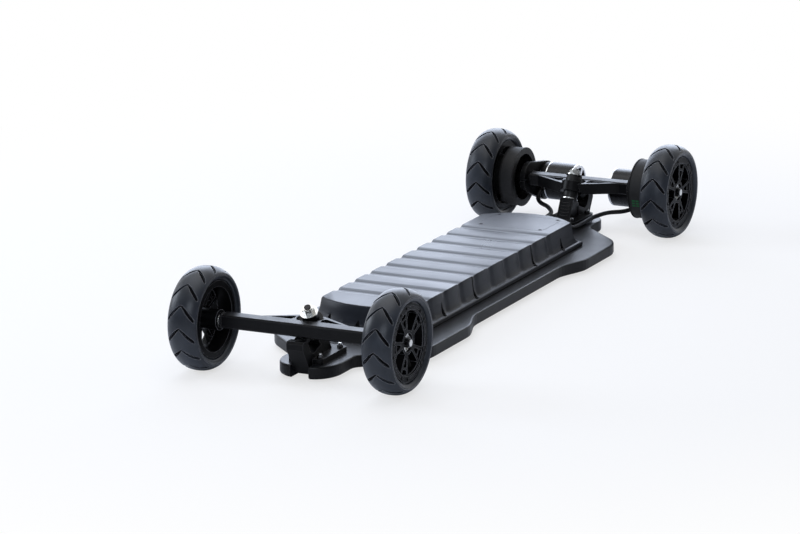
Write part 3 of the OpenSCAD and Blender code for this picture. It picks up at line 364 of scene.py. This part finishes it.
def brushed_group():
    """Fine lines of a turned or drawn metal: a roughness and a height."""
    group = bpy.data.node_groups.get("Brushed Lines")
    if group:
        return group
    group = bpy.data.node_groups.new("Brushed Lines", "ShaderNodeTree")
    socket(group, "Line Scale", "NodeSocketVector", "INPUT", (200.0, 2000.0, 200.0))
    socket(group, "Least Roughness", "NodeSocketFloat", "INPUT", 0.2)
    socket(group, "Most Roughness", "NodeSocketFloat", "INPUT", 0.4)
    socket(group, "Roughness", "NodeSocketFloat", "OUTPUT")
    socket(group, "Height", "NodeSocketFloat", "OUTPUT")
    n, link = group.nodes, group.links.new
    given, out = n.new("NodeGroupInput"), n.new("NodeGroupOutput")
    place, stretch = n.new("ShaderNodeTexCoord"), n.new("ShaderNodeMapping")
    noise, rough = n.new("ShaderNodeTexNoise"), n.new("ShaderNodeMapRange")
    noise.inputs["Scale"].default_value = 1.0
    noise.inputs["Detail"].default_value = 3
    link(place.outputs["Object"], stretch.inputs["Vector"])
    link(given.outputs["Line Scale"], stretch.inputs["Scale"])
    link(stretch.outputs["Vector"], noise.inputs["Vector"])
    link(noise.outputs["Fac"], rough.inputs["Value"])
    link(given.outputs["Least Roughness"], rough.inputs["To Min"])
    link(given.outputs["Most Roughness"], rough.inputs["To Max"])
    link(rough.outputs["Result"], out.inputs["Roughness"])
    link(noise.outputs["Fac"], out.inputs["Height"])
    return group


def edge_group():
    """Rounded edges without geometry: a normal, and a mask of the edges, on which the finishes paint a highlight.
    """
    group = bpy.data.node_groups.get("Caught Edges")
    if group:
        return group
    group = bpy.data.node_groups.new("Caught Edges", "ShaderNodeTree")
    socket(group, "Radius", "NodeSocketFloat", "INPUT", 0.0008)
    socket(group, "Edge", "NodeSocketFloat", "OUTPUT")
    socket(group, "Normal", "NodeSocketVector", "OUTPUT")
    n, link = group.nodes, group.links.new
    given, out = n.new("NodeGroupInput"), n.new("NodeGroupOutput")
    round_over, flat = n.new("ShaderNodeBevel"), n.new("ShaderNodeNewGeometry")
    turn = n.new("ShaderNodeVectorMath")
    round_over.samples = 6
    turn.operation = "DOT_PRODUCT"
    ramp = n.new("ShaderNodeMapRange")
    ramp.inputs["From Min"].default_value = 0.995
    ramp.inputs["From Max"].default_value = 0.90
    link(given.outputs["Radius"], round_over.inputs["Radius"])
    link(round_over.outputs["Normal"], turn.inputs[0])
    link(flat.outputs["Normal"], turn.inputs[1])
    link(turn.outputs["Value"], ramp.inputs["Value"])
    link(ramp.outputs["Result"], out.inputs["Edge"])
    link(round_over.outputs["Normal"], out.inputs["Normal"])
    return group


# Materials


def blank_material(name):
    material = bpy.data.materials.new(name)
    material.use_nodes = True
    return material, material.node_tree.nodes, material.node_tree.links.new


def bumped(material, height, strength, depth):
    nodes, link = material.node_tree.nodes, material.node_tree.links.new
    bump = nodes.new("ShaderNodeBump")
    bump.inputs["Strength"].default_value = strength
    bump.inputs["Distance"].default_value = depth
    link(height, bump.inputs["Height"])
    link(bump.outputs["Normal"], nodes["Principled BSDF"].inputs["Normal"])
    return bump


def mottled(name, base, lift, rough=(0.3, 0.5), patch=12, grain=900, bump=(0.15, 0.0002), coat=0.0,
            coat_rough=0.2, metal=0.0, specular=0.25, sheen=0.0, edge=0.0, edge_highlight=0.0):
    """A moulded, painted or cast finish, from the mottled grain and caught edges groups. Where edge is set, the
    edges are mixed towards a light grey: a painted highlight.
    """
    if bpy.data.materials.get(name):
        return bpy.data.materials[name]
    material, nodes, link = blank_material(name)
    shader = nodes["Principled BSDF"]
    shader.inputs["Metallic"].default_value = metal
    shader.inputs["Coat Weight"].default_value = coat
    shader.inputs["Coat Roughness"].default_value = coat_rough
    shader.inputs["Specular IOR Level"].default_value = specular
    shader.inputs["Sheen Weight"].default_value = sheen
    shader.inputs["Sheen Roughness"].default_value = 0.45
    shader.inputs["Sheen Tint"].default_value = (0.80, 0.86, 1.0, 1)
    skin = nodes.new("ShaderNodeGroup")
    skin.node_tree = grain_group()
    skin.inputs["Base"].default_value = (*base, 1)
    skin.inputs["Lift"].default_value = (*lift, 1)
    skin.inputs["Patch Size"].default_value = patch
    skin.inputs["Grain Size"].default_value = grain
    skin.inputs["Least Roughness"].default_value = rough[0]
    skin.inputs["Most Roughness"].default_value = rough[1]
    link(skin.outputs["Roughness"], shader.inputs["Roughness"])
    relief = bumped(material, skin.outputs["Height"], *bump)
    if edge:
        rim = nodes.new("ShaderNodeGroup")
        rim.node_tree = edge_group()
        rim.inputs["Radius"].default_value = edge
        # Painted highlight: the edge mask mixes the colour towards a light grey on every edge
        painted_highlight = nodes.new("ShaderNodeMix")
        painted_highlight.data_type = "RGBA"
        painted_highlight.inputs["B"].default_value = (edge_highlight, edge_highlight, edge_highlight * 1.06, 1)
        link(rim.outputs["Edge"], painted_highlight.inputs["Factor"])
        link(skin.outputs["Colour"], painted_highlight.inputs["A"])
        link(painted_highlight.outputs["Result"], shader.inputs["Base Color"])
        link(rim.outputs["Normal"], relief.inputs["Normal"])
    else:
        link(skin.outputs["Colour"], shader.inputs["Base Color"])
    return material


def brushed(name, colour, rough=(0.2, 0.4), lines=(200, 2000, 200), bump=(0.08, 0.0001), metal=1.0):
    """A bare metal with fine lines."""
    if bpy.data.materials.get(name):
        return bpy.data.materials[name]
    material, nodes, link = blank_material(name)
    shader = nodes["Principled BSDF"]
    shader.inputs["Base Color"].default_value = (*colour, 1)
    shader.inputs["Metallic"].default_value = metal
    lay = nodes.new("ShaderNodeGroup")
    lay.node_tree = brushed_group()
    lay.inputs["Line Scale"].default_value = lines
    lay.inputs["Least Roughness"].default_value = rough[0]
    lay.inputs["Most Roughness"].default_value = rough[1]
    link(lay.outputs["Roughness"], shader.inputs["Roughness"])
    bumped(material, lay.outputs["Height"], *bump)
    return material


def calc(nodes, link, operation, *values):
    """One step of arithmetic on sockets or plain numbers."""
    step = nodes.new("ShaderNodeMath")
    step.operation = operation
    for value, place in zip(values, step.inputs):
        if isinstance(value, bpy.types.NodeSocket):
            link(value, place)
        else:
            place.default_value = value
    return step.outputs[0]


def object_place(nodes, link):
    """The X, Y and Z of a point of the object."""
    place, apart = nodes.new("ShaderNodeTexCoord"), nodes.new("ShaderNodeSeparateXYZ")
    link(place.outputs["Object"], apart.inputs[0])
    return apart.outputs


def toned(material, mask, colour):
    """Puts a second colour on a material where a mask is 1."""
    nodes, link = material.node_tree.nodes, material.node_tree.links.new
    base = nodes["Principled BSDF"].inputs["Base Color"]
    tone = nodes.new("ShaderNodeMix")
    tone.data_type = "RGBA"
    tone.inputs["A"].default_value = base.default_value
    tone.inputs["B"].default_value = (*colour, 1)
    if base.is_linked:
        link(base.links[0].from_socket, tone.inputs["A"])
    link(mask, tone.inputs["Factor"])
    link(tone.outputs["Result"], base)
    return material


def two_ended(name, front, rear):
    """Steel in one tone at the nose end and in another at the tail end."""
    if bpy.data.materials.get(name):
        return bpy.data.materials[name]
    material = brushed(name, front, (0.18, 0.32))
    nodes, link = material.node_tree.nodes, material.node_tree.links.new
    behind = calc(nodes, link, "LESS_THAN", object_place(nodes, link)["X"], 0)
    return toned(material, behind, rear)


def scaled(colour, by):
    return tuple(min(1.0, c * by) for c in colour)


def finishes():
    """Every finish of the board, by the name of the record's material slot."""
    c = bpy.context.scene.board_colours
    # The edge lifts below are the greys of painted highlights on the edges
    return {
        "cover_plastic": mottled("Cover plastic", c.cover, scaled(c.cover, 1.6), (0.26, 0.36), 9, 1400,
                                 (0.10, 0.0002), sheen=0.05, edge=0.0012, edge_highlight=0.05, specular=0.14),
        "deck_laminate": mottled("Deck paint", c.deck, scaled(c.deck, 1.7), (0.30, 0.42), 14, 700,
                                 (0.10, 0.0002), sheen=0.03, edge=0.0012, edge_highlight=0.03, specular=0.16),
        "grip": mottled("Grip grit", (0.006, 0.006, 0.006), (0.03, 0.03, 0.03), (0.8, 0.98), 60, 1800,
                        (1.0, 0.0009)),
        "black_rubber": mottled("Gasket rubber", (0.006, 0.006, 0.006), (0.014, 0.014, 0.014), (0.6, 0.8)),
        "bright_steel": brushed("Bright steel", c.steel, (0.16, 0.34)),
        "black_steel": mottled("Black steel", (0.02, 0.02, 0.02), (0.04, 0.04, 0.04), (0.3, 0.45), metal=1.0,
                               edge=0.0003, edge_highlight=0.12),
        "cell_wrap": mottled("Cell wrap", (0.02, 0.09, 0.28), (0.03, 0.12, 0.34), (0.2, 0.3)),
        "bare_aluminium": brushed("Bare aluminium", (0.7, 0.7, 0.71), (0.3, 0.5)),
        "black_plastic": mottled("Black plastic", (0.006, 0.006, 0.006), (0.012, 0.012, 0.012), (0.4, 0.55),
                                 edge=0.0006, edge_highlight=0.02),
        "black_alloy": mottled("Black alloy", c.alloy, scaled(c.alloy, 1.8), (0.30, 0.42), 30, 1600,
                               (0.14, 0.0002), edge=0.0010, edge_highlight=0.06, specular=0.12),
        "nylon": mottled("Pivot nylon", (0.012, 0.012, 0.012), (0.02, 0.02, 0.02), (0.4, 0.6)),
        "urethane": mottled("Urethane", (0.006, 0.006, 0.006), (0.012, 0.012, 0.012), (0.3, 0.45)),
        "belt_rubber": mottled("Belt rubber", *BELT_RUBBER),
        "copper": brushed("Copper windings", (0.72, 0.33, 0.14), (0.25, 0.4), (900, 200, 900)),
        "motor_can": motor_finish(),
        "cable_sleeve": mottled("Cable sleeve", (0.007, 0.007, 0.008), (0.022, 0.022, 0.024), (0.35, 0.5),
                                400, 900, (0.6, 0.0006)),
        "black_nylon": mottled("Pulley nylon", (0.006, 0.006, 0.006), (0.012, 0.012, 0.012), (0.4, 0.55),
                               edge=0.0006, edge_highlight=0.03, specular=0.2),
        "tyre_rubber": mottled("Tyre rubber", c.tyre, scaled(c.tyre, 1.9), (0.30, 0.42), 25, 1100,
                               (0.25, 0.0003), sheen=0.05, edge=0.0011, edge_highlight=0.22, specular=0.30),
        "rim_nylon": mottled("Rim nylon", (0.0015, 0.0015, 0.0017), (0.003, 0.003, 0.0034), (0.28, 0.40),
                             edge=0.0011, edge_highlight=0.20, specular=0.05),
    }


def marked_belt():
    """Belt rubber with three rows of plain green bars on the belt's back."""
    name = "Marked belt rubber"
    if bpy.data.materials.get(name):
        return bpy.data.materials[name]
    material = mottled(name, *BELT_RUBBER)
    nodes, link = material.node_tree.nodes, material.node_tree.links.new
    place = object_place(nodes, link)
    middle, half_wide, half_gap = node_centre("left_belt").y + 0.001, 0.0062, 0.0007
    height, half_tall, pitch, share = 0.0635, 0.0066, 0.0044, 0.62
    rearmost = -0.470

    def step(operation, *values):
        return calc(nodes, link, operation, *values)

    mask = step("COMPARE", place["Y"], middle, half_wide)
    for other in (
        step("GREATER_THAN", step("ABSOLUTE", step("SUBTRACT", place["Y"], middle)), half_gap),
        step("COMPARE", place["Z"], height, half_tall),
        step("LESS_THAN", step("FRACT", step("MULTIPLY", place["Z"], 1 / pitch)), share),
        step("GREATER_THAN", place["X"], rearmost),
    ):
        mask = step("MULTIPLY", mask, other)
    return toned(material, mask, BELT_GREEN)


def motor_finish():
    """Black paint on the can, with machined bands at its two ends."""
    name = "Motor can"
    if bpy.data.materials.get(name):
        return bpy.data.materials[name]
    material = mottled(name, (0.006, 0.006, 0.007), (0.012, 0.012, 0.013), (0.22, 0.32), 40, 1200,
                       (0.05, 0.0001), edge=0.0005, edge_highlight=0.05)
    nodes, link = material.node_tree.nodes, material.node_tree.links.new
    low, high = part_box("left_motor_can")
    height = calc(nodes, link, "ABSOLUTE", object_place(nodes, link)["Y"])
    inner = calc(nodes, link, "COMPARE", height, low.y + 0.0018, 0.0030)
    outer = calc(nodes, link, "COMPARE", height, high.y - 0.0016, 0.0009)
    bands = calc(nodes, link, "MAXIMUM", inner, outer)
    link(bands, nodes["Principled BSDF"].inputs["Metallic"])
    return toned(material, bands, BAND_STEEL)


def dress(obj, material):
    """Puts one finish on an object, in every slot that it has."""
    if not obj.material_slots:
        obj.data.materials.append(material)
    for place in obj.material_slots:
        place.material = material


class MB_OT_finishes(bpy.types.Operator):
    """Give every solid of the board its finish"""

    bl_idname = "mountainboard.finishes"
    bl_label = "Finish the solids"

    def execute(self, context):
        kinds = finishes()
        dark_steel = brushed("Dark steel", DARK_STEEL, (0.2, 0.34))
        # The lid screws are near black and matte, darker than the other steel
        near_black_matte = mottled("Blacked steel", (0.003, 0.003, 0.003), (0.006, 0.006, 0.006), (0.6, 0.8),
                          specular=0.06)
        apart = {
            "front_axle_nuts": dark_steel,
            "rear_axle_nuts": dark_steel,
            "truck_nuts": dark_steel,
            "left_belt": marked_belt(),
            "kingpins": two_ended("Kingpin steel", DARK_PIN, context.scene.board_colours.steel),
            "kingpin_nuts": kinds["bright_steel"],
            "bushing_washers": kinds["bright_steel"],
            "service_lid_screws": near_black_matte,
        }
        for node, slot in SLOT_OF.items():
            dress(NODES[node], apart.get(node, kinds[slot]))
        return {"FINISHED"}


# Pieces


def tyre_outline(outer, half, rim, rim_half):
    """Section of a road tyre in millimetres: tread, shoulder lip, side wall, bead and inner wall."""
    shoulder = outer - CROWN_DROP

    def crown(h):
        return shoulder + CROWN_DROP * max(0.0, 1 - (abs(h) / half) ** 2.4) ** 0.8

    tread = [(crown(half * math.sin(math.radians(6 * k))), half * math.sin(math.radians(6 * k)))
             for k in range(-15, 16)]
    lip = [(shoulder - 0.8, half), (shoulder - 1.2, half - 0.6)]
    ring = [(rim + 8.4, half - 0.5), (rim + 8.0, half - 0.1), (rim + 7.4, half - 0.1),
            (rim + 7.0, half - 0.6)]
    side = [(rim + 4.6, half - 1.3), (rim + 3.2, half - 2.4), (rim + 2.3, half - 3.4)]
    bead = [(rim + 2, rim_half - 2.6), (rim, rim_half - 3.3), (rim - 6, rim_half - 3.3),
            (rim - 6, rim_half - 5)]
    wall = lip + ring + side + bead + [(rim, half - 8), (shoulder - 2, half - 5)]
    heights = [(half - 6) * math.sin(math.radians(14 * k)) for k in range(6, -7, -1)]
    inner = [(crown(h) - 6, h) for h in heights]
    return tread + wall + inner + [(r, -h) for r, h in reversed(wall)]


def tread_cut(obj, half, sizes):
    """Leans the mesh's rows into a V, then cuts a groove along one column in every few."""
    columns = GROOVE_COLUMNS
    step = 2 * math.pi / (sizes.tread_pitches * columns)
    mesh = obj.data
    lean, reach = math.radians(GROOVE_LEAN), half * GROOVE_REACH * MM
    chosen = []
    for face in mesh.polygons:
        x, y, z = face.center
        radial = (face.normal.x * x + face.normal.z * z) / math.hypot(x, z)
        column = math.floor(math.atan2(z, x) / step) % columns
        if radial > 0.2 and column == 0 and abs(y) < reach * 0.985 and math.hypot(x, z) > GROOVE_FOOT:
            chosen.append(face.index)
    for vertex in mesh.vertices:
        x, y, z = vertex.co
        radius, angle = math.hypot(x, z), math.atan2(z, x)
        column = round(angle / step)
        share = min(1.0, abs(y) / reach)
        width = sizes.groove_width / (step * radius)
        width *= min(1.0, 0.42 + 1.5 * share, 0.45 + 4 * max(0.0, 1 - share))
        middle = columns * round((column - 0.5) / columns) + 0.5
        if abs(column - middle) < 1:
            angle = (middle + (column - middle) * width) * step
        angle -= lean * share ** 1.12
        vertex.co = (radius * math.cos(angle), y, radius * math.sin(angle))
    choose(obj)
    bpy.ops.object.mode_set(mode="EDIT")
    bpy.ops.mesh.select_mode(type="FACE")
    bpy.ops.mesh.select_all(action="DESELECT")
    bpy.ops.object.mode_set(mode="OBJECT")
    for index in chosen:
        mesh.polygons[index].select = True
    bpy.ops.object.mode_set(mode="EDIT")
    bpy.ops.mesh.inset(thickness=0.0004, depth=-sizes.tread_depth)
    bpy.ops.object.mode_set(mode="OBJECT")
    # Inset groove faces take slot 1, the rougher groove finish that is painted darker as shade
    for face in mesh.polygons:
        face.material_index = int(face.select)
    return len(chosen)


class MB_OT_tyres(bpy.types.Operator):
    """Make the four tyres with their grooved treads"""

    bl_idname = "mountainboard.tyres"
    bl_label = "Tyres"

    def execute(self, context):
        sizes = context.scene.board_sizes
        node = wheel_name(FRONT, LEFT)
        outer, half = node_size(node + "_tyre").z / 2 / MM, node_size(node + "_tyre").y / 2 / MM
        rim = node_size(node + "_rim").z / 2 / MM
        outline = tyre_outline(outer, half, rim, BEAD_HALF)
        pattern = turned("tyre_pattern", outline, sizes.tread_pitches * GROOVE_COLUMNS)
        # The groove floors get rubber that is rougher and also painted darker: painted shade in the grooves
        groove_painted_shade = mottled("Groove rubber", (0.003, 0.003, 0.004), (0.006, 0.006, 0.007), (0.8, 0.95),
                       specular=0.1)
        for _ in range(2):
            pattern.data.materials.append(groove_painted_shade)
        if not tread_cut(pattern, half, sizes):
            raise RuntimeError("the tyre's tread has no groove faces")
        smoothed(pattern, 38)
        for end, side in WHEELS:
            name = wheel_name(end, side)
            tyre = copy_to(pattern, name + "_grooved_tyre", Matrix.Translation(wheel_centre(end, side)),
                           BODY_OF[name + "_tyre"], "tyre_rubber")
            tyre.material_slots[1].material = groove_painted_shade
            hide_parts(name + "_tyre")
        done_with(pattern)
        return {"FINISHED"}


class MB_OT_wheel_trim(bpy.types.Operator):
    """Make the valves, bearing clips and rim bolts of the four wheels"""

    bl_idname = "mountainboard.wheel_trim"
    bl_label = "Valves, clips and rim bolts"

    def execute(self, context):
        length = context.scene.board_sizes.valve_length / MM
        valve = turned("valve_pattern", [
            (0, -1), (4.2, -1), (4.2, 0.6), (3.3, 1.6), (2.7, length - 8), (2.5, length - 7.6),
            (3.1, length - 7.4), (3.3, length - 6.8), (3.3, length - 1.4), (2.7, length - 0.3),
            (1.6, length), (1.6, length - 0.8), (0, length - 0.8)], 20)
        clip = turned("clip_pattern", [
            (11.3, 0), (13.1, 0), (13.3, 0.2), (13.3, 0.9), (13.1, 1.1), (11.3, 1.1), (11.1, 0.9),
            (11.1, 0.2)], 40, CLIP_SWEEP)
        ear = turned("ear_pattern", [(0.6, 0), (1.7, 0), (1.9, 0.2), (1.9, 1.1), (1.7, 1.3), (0.6, 1.3)], 14)
        bolt = turned("bolt_pattern", [
            (0, -1.5), (2.2, -1.5), (2.2, 0.9), (1.9, 1.2), (1.2, 1.2), (1.2, 0.3), (0, 0.3)], 16)
        for piece in (valve, clip, ear, bolt):
            smoothed(piece)
        inward = Matrix.Rotation(math.radians(90), 4, "Z")
        for end, side in WHEELS:
            name = wheel_name(end, side)
            body, flip = BODY_OF[name + "_rim"], side == RIGHT
            at = Matrix.Translation(wheel_centre(end, side))
            foot = Matrix.Translation((node_size(name + "_rim").z / 2 - VALVE_DEPTH, side * VALVE_SIDE, 0))
            foot = about_axle(VALVE_TURN) @ foot @ inward
            copy_to(valve, name + "_valve", at @ foot, body, "black_rubber")
            face = Matrix.Translation((0, side * CLIP_SIDE, 0))
            start = about_axle(-CLIP_SWEEP / 2)
            copy_to(clip, name + "_bearing_clip", at @ face @ start, body, "bright_steel", flip)
            for k, turn in enumerate((CLIP_SWEEP / 2, -CLIP_SWEEP / 2)):
                lug = about_axle(turn) @ Matrix.Translation((CLIP_EYE_R, 0, 0))
                copy_to(ear, f"{name}_clip_eye_{k + 1}", at @ face @ lug, body, "bright_steel", flip)
            seat = Matrix.Translation((BOLT_CIRCLE, side * BOLT_FACE, 0))
            for k in range(2 * SPOKES):
                turn = 360 / SPOKES * (k // 2) + (BOLT_TURN if k % 2 else -BOLT_TURN)
                place = at @ about_axle(turn) @ seat
                copy_to(bolt, f"{name}_rim_bolt_{k + 1}", place, body, "black_steel", flip)
        for pattern in (valve, clip, ear, bolt):
            done_with(pattern)
        return {"FINISHED"}


class MB_OT_cover(bpy.types.Operator):
    """Make the moulded battery cover with its facets shaded away and painted shade in its screw recesses"""

    bl_idname = "mountainboard.cover"
    bl_label = "Battery cover"

    def execute(self, context):
        cover = smoothed(welded("enclosure_cover", "moulded_cover"), 12)
        stand_in(cover, "enclosure_cover")
        # Painted shade: faces within the radius of each screw's axis get a near-black matte finish where the
        # recess is only in shade
        shade = mottled("Recess plastic", (0.002, 0.002, 0.0024), (0.004, 0.004, 0.0046), (0.5, 0.7),
                        specular=0.08)
        cover.data.materials.append(shade)
        screws = screw_axes("enclosure_screws")
        if not screws:
            raise RuntimeError("the cover's screws have no axes")
        for face in cover.data.polygons:
            corners = [cover.data.vertices[index].co for index in face.vertices]
            if any(all((corner.xy - axis).length < PAINTED_SHADE_R for corner in corners) for axis in screws):
                face.material_index = 1
        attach(cover, "board")
        return {"FINISHED"}


class MB_OT_cables(bpy.types.Operator):
    """Make the two sleeved motor cables between the board and the rear truck"""

    bl_idname = "mountainboard.cables"
    bl_label = "Motor cables"

    def execute(self, context):
        for side in (LEFT, RIGHT):
            node = SIDE_NAME[side] + "_motor_cable"
            cable = welded(node, SIDE_NAME[side] + "_cable_sleeve")
            choose(cable)
            finer = cable.modifiers.new("Rounder", "SUBSURF")
            finer.levels = finer.render_levels = 2
            bpy.ops.object.modifier_apply(modifier=finer.name)
            smoothed(cable, 50)
            stand_in(cable, node)
            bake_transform(cable)
        return {"FINISHED"}


class MB_OT_bushings(bpy.types.Operator):
    """Make the four barrel bushings of the trucks"""

    bl_idname = "mountainboard.bushings"
    bl_label = "Bushings"

    def execute(self, context):
        for end in (FRONT, REAR):
            node = END_NAME[end] + "_bushings"
            centre = node_centre(node)
            pin = kingpin_way(end)
            for label, way in (("upper", 1), ("lower", -1)):
                axis = pin * way
                spans = [(Vector(v.co) - centre).dot(axis) for v in NODES[node].data.vertices]
                near, far = min(t for t in spans if t > 0) / MM, max(spans) / MM
                rise = far - near
                body = BUSHING_BODY
                barrel = [(body + BUSHING_SWELL * math.sin(math.pi * k / 12), near + rise * k / 12)
                          for k in range(1, 12)]
                outline = [(BUSHING_BORE, near), (BUSHING_FACE, near), (body, near + 0.5), *barrel,
                           (body, far - 0.5), (BUSHING_FACE, far), (BUSHING_BORE, far)]
                pattern = smoothed(turned("bushing_pattern", outline, 48), 45)
                turn = Vector((0, 1, 0)).rotation_difference(axis).to_matrix().to_4x4()
                place = Matrix.Translation(centre) @ turn
                piece = copy_to(pattern, f"{END_NAME[end]}_{label}_bushing", place, "board", "urethane")
                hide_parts(node)
                piece.parent = None
                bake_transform(piece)
                done_with(pattern)
        return {"FINISHED"}


# Stage


def lamp(name, place, aim, size, power, colour):
    light = bpy.data.lights.new(name, "AREA")
    light.shape = "RECTANGLE"
    light.size, light.size_y = size
    light.energy = power
    light.color = colour
    obj = bpy.data.objects.new(name, light)
    bpy.context.scene.collection.objects.link(obj)
    obj.location = place
    obj.rotation_euler = (Vector(aim) - Vector(place)).to_track_quat("-Z", "Y").to_euler()
    obj.visible_camera = False
    return obj


def seen_white(nodes, link, lit, shown, strength, mirrored):
    """A lit shader that the camera and glass see as a plain glow, and reflections as a share of it."""
    path = nodes.new("ShaderNodeLightPath").outputs
    seen = calc(nodes, link, "MAXIMUM", path["Is Camera Ray"], path["Is Transmission Ray"])
    direct = calc(nodes, link, "MULTIPLY", seen, strength)
    gloss = calc(nodes, link, "MULTIPLY", path["Is Glossy Ray"], mirrored)
    share = calc(nodes, link, "MAXIMUM", direct, gloss)
    mix = nodes.new("ShaderNodeMixShader")
    link(share, mix.inputs[0])
    link(lit, mix.inputs[1])
    link(shown, mix.inputs[2])
    return mix


def paler_behind(nodes, link, place, start, end, low, high):
    """A share that rises from the front of the studio to the white wall behind the board."""
    along, ramp = nodes.new("ShaderNodeVectorMath"), nodes.new("ShaderNodeMapRange")
    along.operation = "DOT_PRODUCT"
    along.inputs[1].default_value = BEHIND
    ramp.interpolation_type = "SMOOTHSTEP"
    ramp.inputs["From Min"].default_value = start
    ramp.inputs["From Max"].default_value = end
    ramp.inputs["To Min"].default_value = low
    ramp.inputs["To Max"].default_value = high
    link(place, along.inputs[0])
    link(along.outputs["Value"], ramp.inputs["Value"])
    return ramp.outputs["Result"]


class MB_OT_stage(bpy.types.Operator):
    """Set up the camera, the pale floor and the soft studio light"""

    bl_idname = "mountainboard.stage"
    bl_label = "Stage"

    def execute(self, context):
        scene = context.scene
        scene.view_settings.view_transform = "Standard"
        camera = bpy.data.cameras.new("Camera")
        camera.sensor_width = 36.0
        camera.lens = LENS
        camera.clip_end = 50.0
        eye = bpy.data.objects.new("Camera", camera)
        scene.collection.objects.link(eye)
        turn = Matrix((EYE_RIGHT, EYE_UP, EYE_BACK)).transposed().to_4x4()
        eye.matrix_world = Matrix.Translation(EYE) @ turn
        scene.camera = eye

        bpy.ops.object.select_all(action="DESELECT")
        bpy.ops.mesh.primitive_plane_add(size=60, location=(0, 0, 0))
        floor = context.object
        floor.name = "floor"
        material, nodes, link = blank_material("Studio floor")
        lit = nodes["Principled BSDF"]
        lit.inputs["Base Color"].default_value = (0.95, 0.96, 1.0, 1)
        lit.inputs["Roughness"].default_value = 0.9
        lit.inputs["Specular IOR Level"].default_value = 0.1
        glow = nodes.new("ShaderNodeEmission")
        glow.inputs["Color"].default_value = (1, 1, 1, 1)
        spot = nodes.new("ShaderNodeTexCoord").outputs["Object"]
        away, fade = nodes.new("ShaderNodeVectorMath"), nodes.new("ShaderNodeMapRange")
        away.operation = "LENGTH"
        fade.interpolation_type = "SMOOTHSTEP"
        for name, value in (("From Min", 0.65), ("From Max", 1.5), ("To Min", 0.67), ("To Max", 1.0)):
            fade.inputs[name].default_value = value
        link(spot, away.inputs[0])
        link(away.outputs["Value"], fade.inputs["Value"])
        mirrored = paler_behind(nodes, link, spot, 0.3, 1.8, 0.0, 0.9)
        mix = seen_white(nodes, link, lit.outputs[0], glow.outputs[0], fade.outputs["Result"], mirrored)
        link(mix.outputs[0], nodes["Material Output"].inputs["Surface"])
        dress(floor, material)

        world = bpy.data.worlds.new("Studio")
        scene.world = world
        world.use_nodes = True
        nodes, link = world.node_tree.nodes, world.node_tree.links.new
        dim = nodes["Background"]
        dim.inputs["Color"].default_value = (0.80, 0.83, 0.88, 1)
        dim.inputs["Strength"].default_value = 0.25
        white = nodes.new("ShaderNodeBackground")
        white.inputs["Color"].default_value = (1, 1, 1, 1)
        way = nodes.new("ShaderNodeTexCoord").outputs["Generated"]
        mirrored = paler_behind(nodes, link, way, -0.3, 0.8, 0.0, 1.0)
        mix = seen_white(nodes, link, dim.outputs[0], white.outputs[0], 1.0, mirrored)
        link(mix.outputs[0], nodes["World Output"].inputs["Surface"])

        for values in LAMPS:
            lamp(*values)
        return {"FINISHED"}


# Panel and run


OPERATORS = (MB_OT_stage, MB_OT_finishes, MB_OT_cover, MB_OT_tyres, MB_OT_wheel_trim, MB_OT_cables,
             MB_OT_bushings)


class MB_PT_panel(bpy.types.Panel):
    """The board's pieces and settings"""

    bl_idname = "MB_PT_panel"
    bl_label = "Mountainboard"
    bl_space_type = "VIEW_3D"
    bl_region_type = "UI"
    bl_category = "Mountainboard"

    def draw(self, context):
        for group in (context.scene.board_sizes, context.scene.board_colours):
            for name in group.__annotations__:
                self.layout.prop(group, name)
        for operator in OPERATORS:
            self.layout.operator(operator.bl_idname)


CLASSES = (BoardSizes, BoardColours, *OPERATORS, MB_PT_panel)


def register():
    for cls in CLASSES:
        bpy.utils.register_class(cls)
    bpy.types.Scene.board_sizes = bpy.props.PointerProperty(type=BoardSizes)
    bpy.types.Scene.board_colours = bpy.props.PointerProperty(type=BoardColours)


def unregister():
    del bpy.types.Scene.board_colours
    del bpy.types.Scene.board_sizes
    for cls in reversed(CLASSES):
        bpy.utils.unregister_class(cls)


def main():
    register()
    bpy.ops.mountainboard.stage()
    bpy.ops.mountainboard.finishes()
    bpy.ops.mountainboard.cover()
    bpy.ops.mountainboard.tyres()
    bpy.ops.mountainboard.wheel_trim()
    bpy.ops.mountainboard.cables()
    bpy.ops.mountainboard.bushings()


if __name__ == "__main__":
    main()
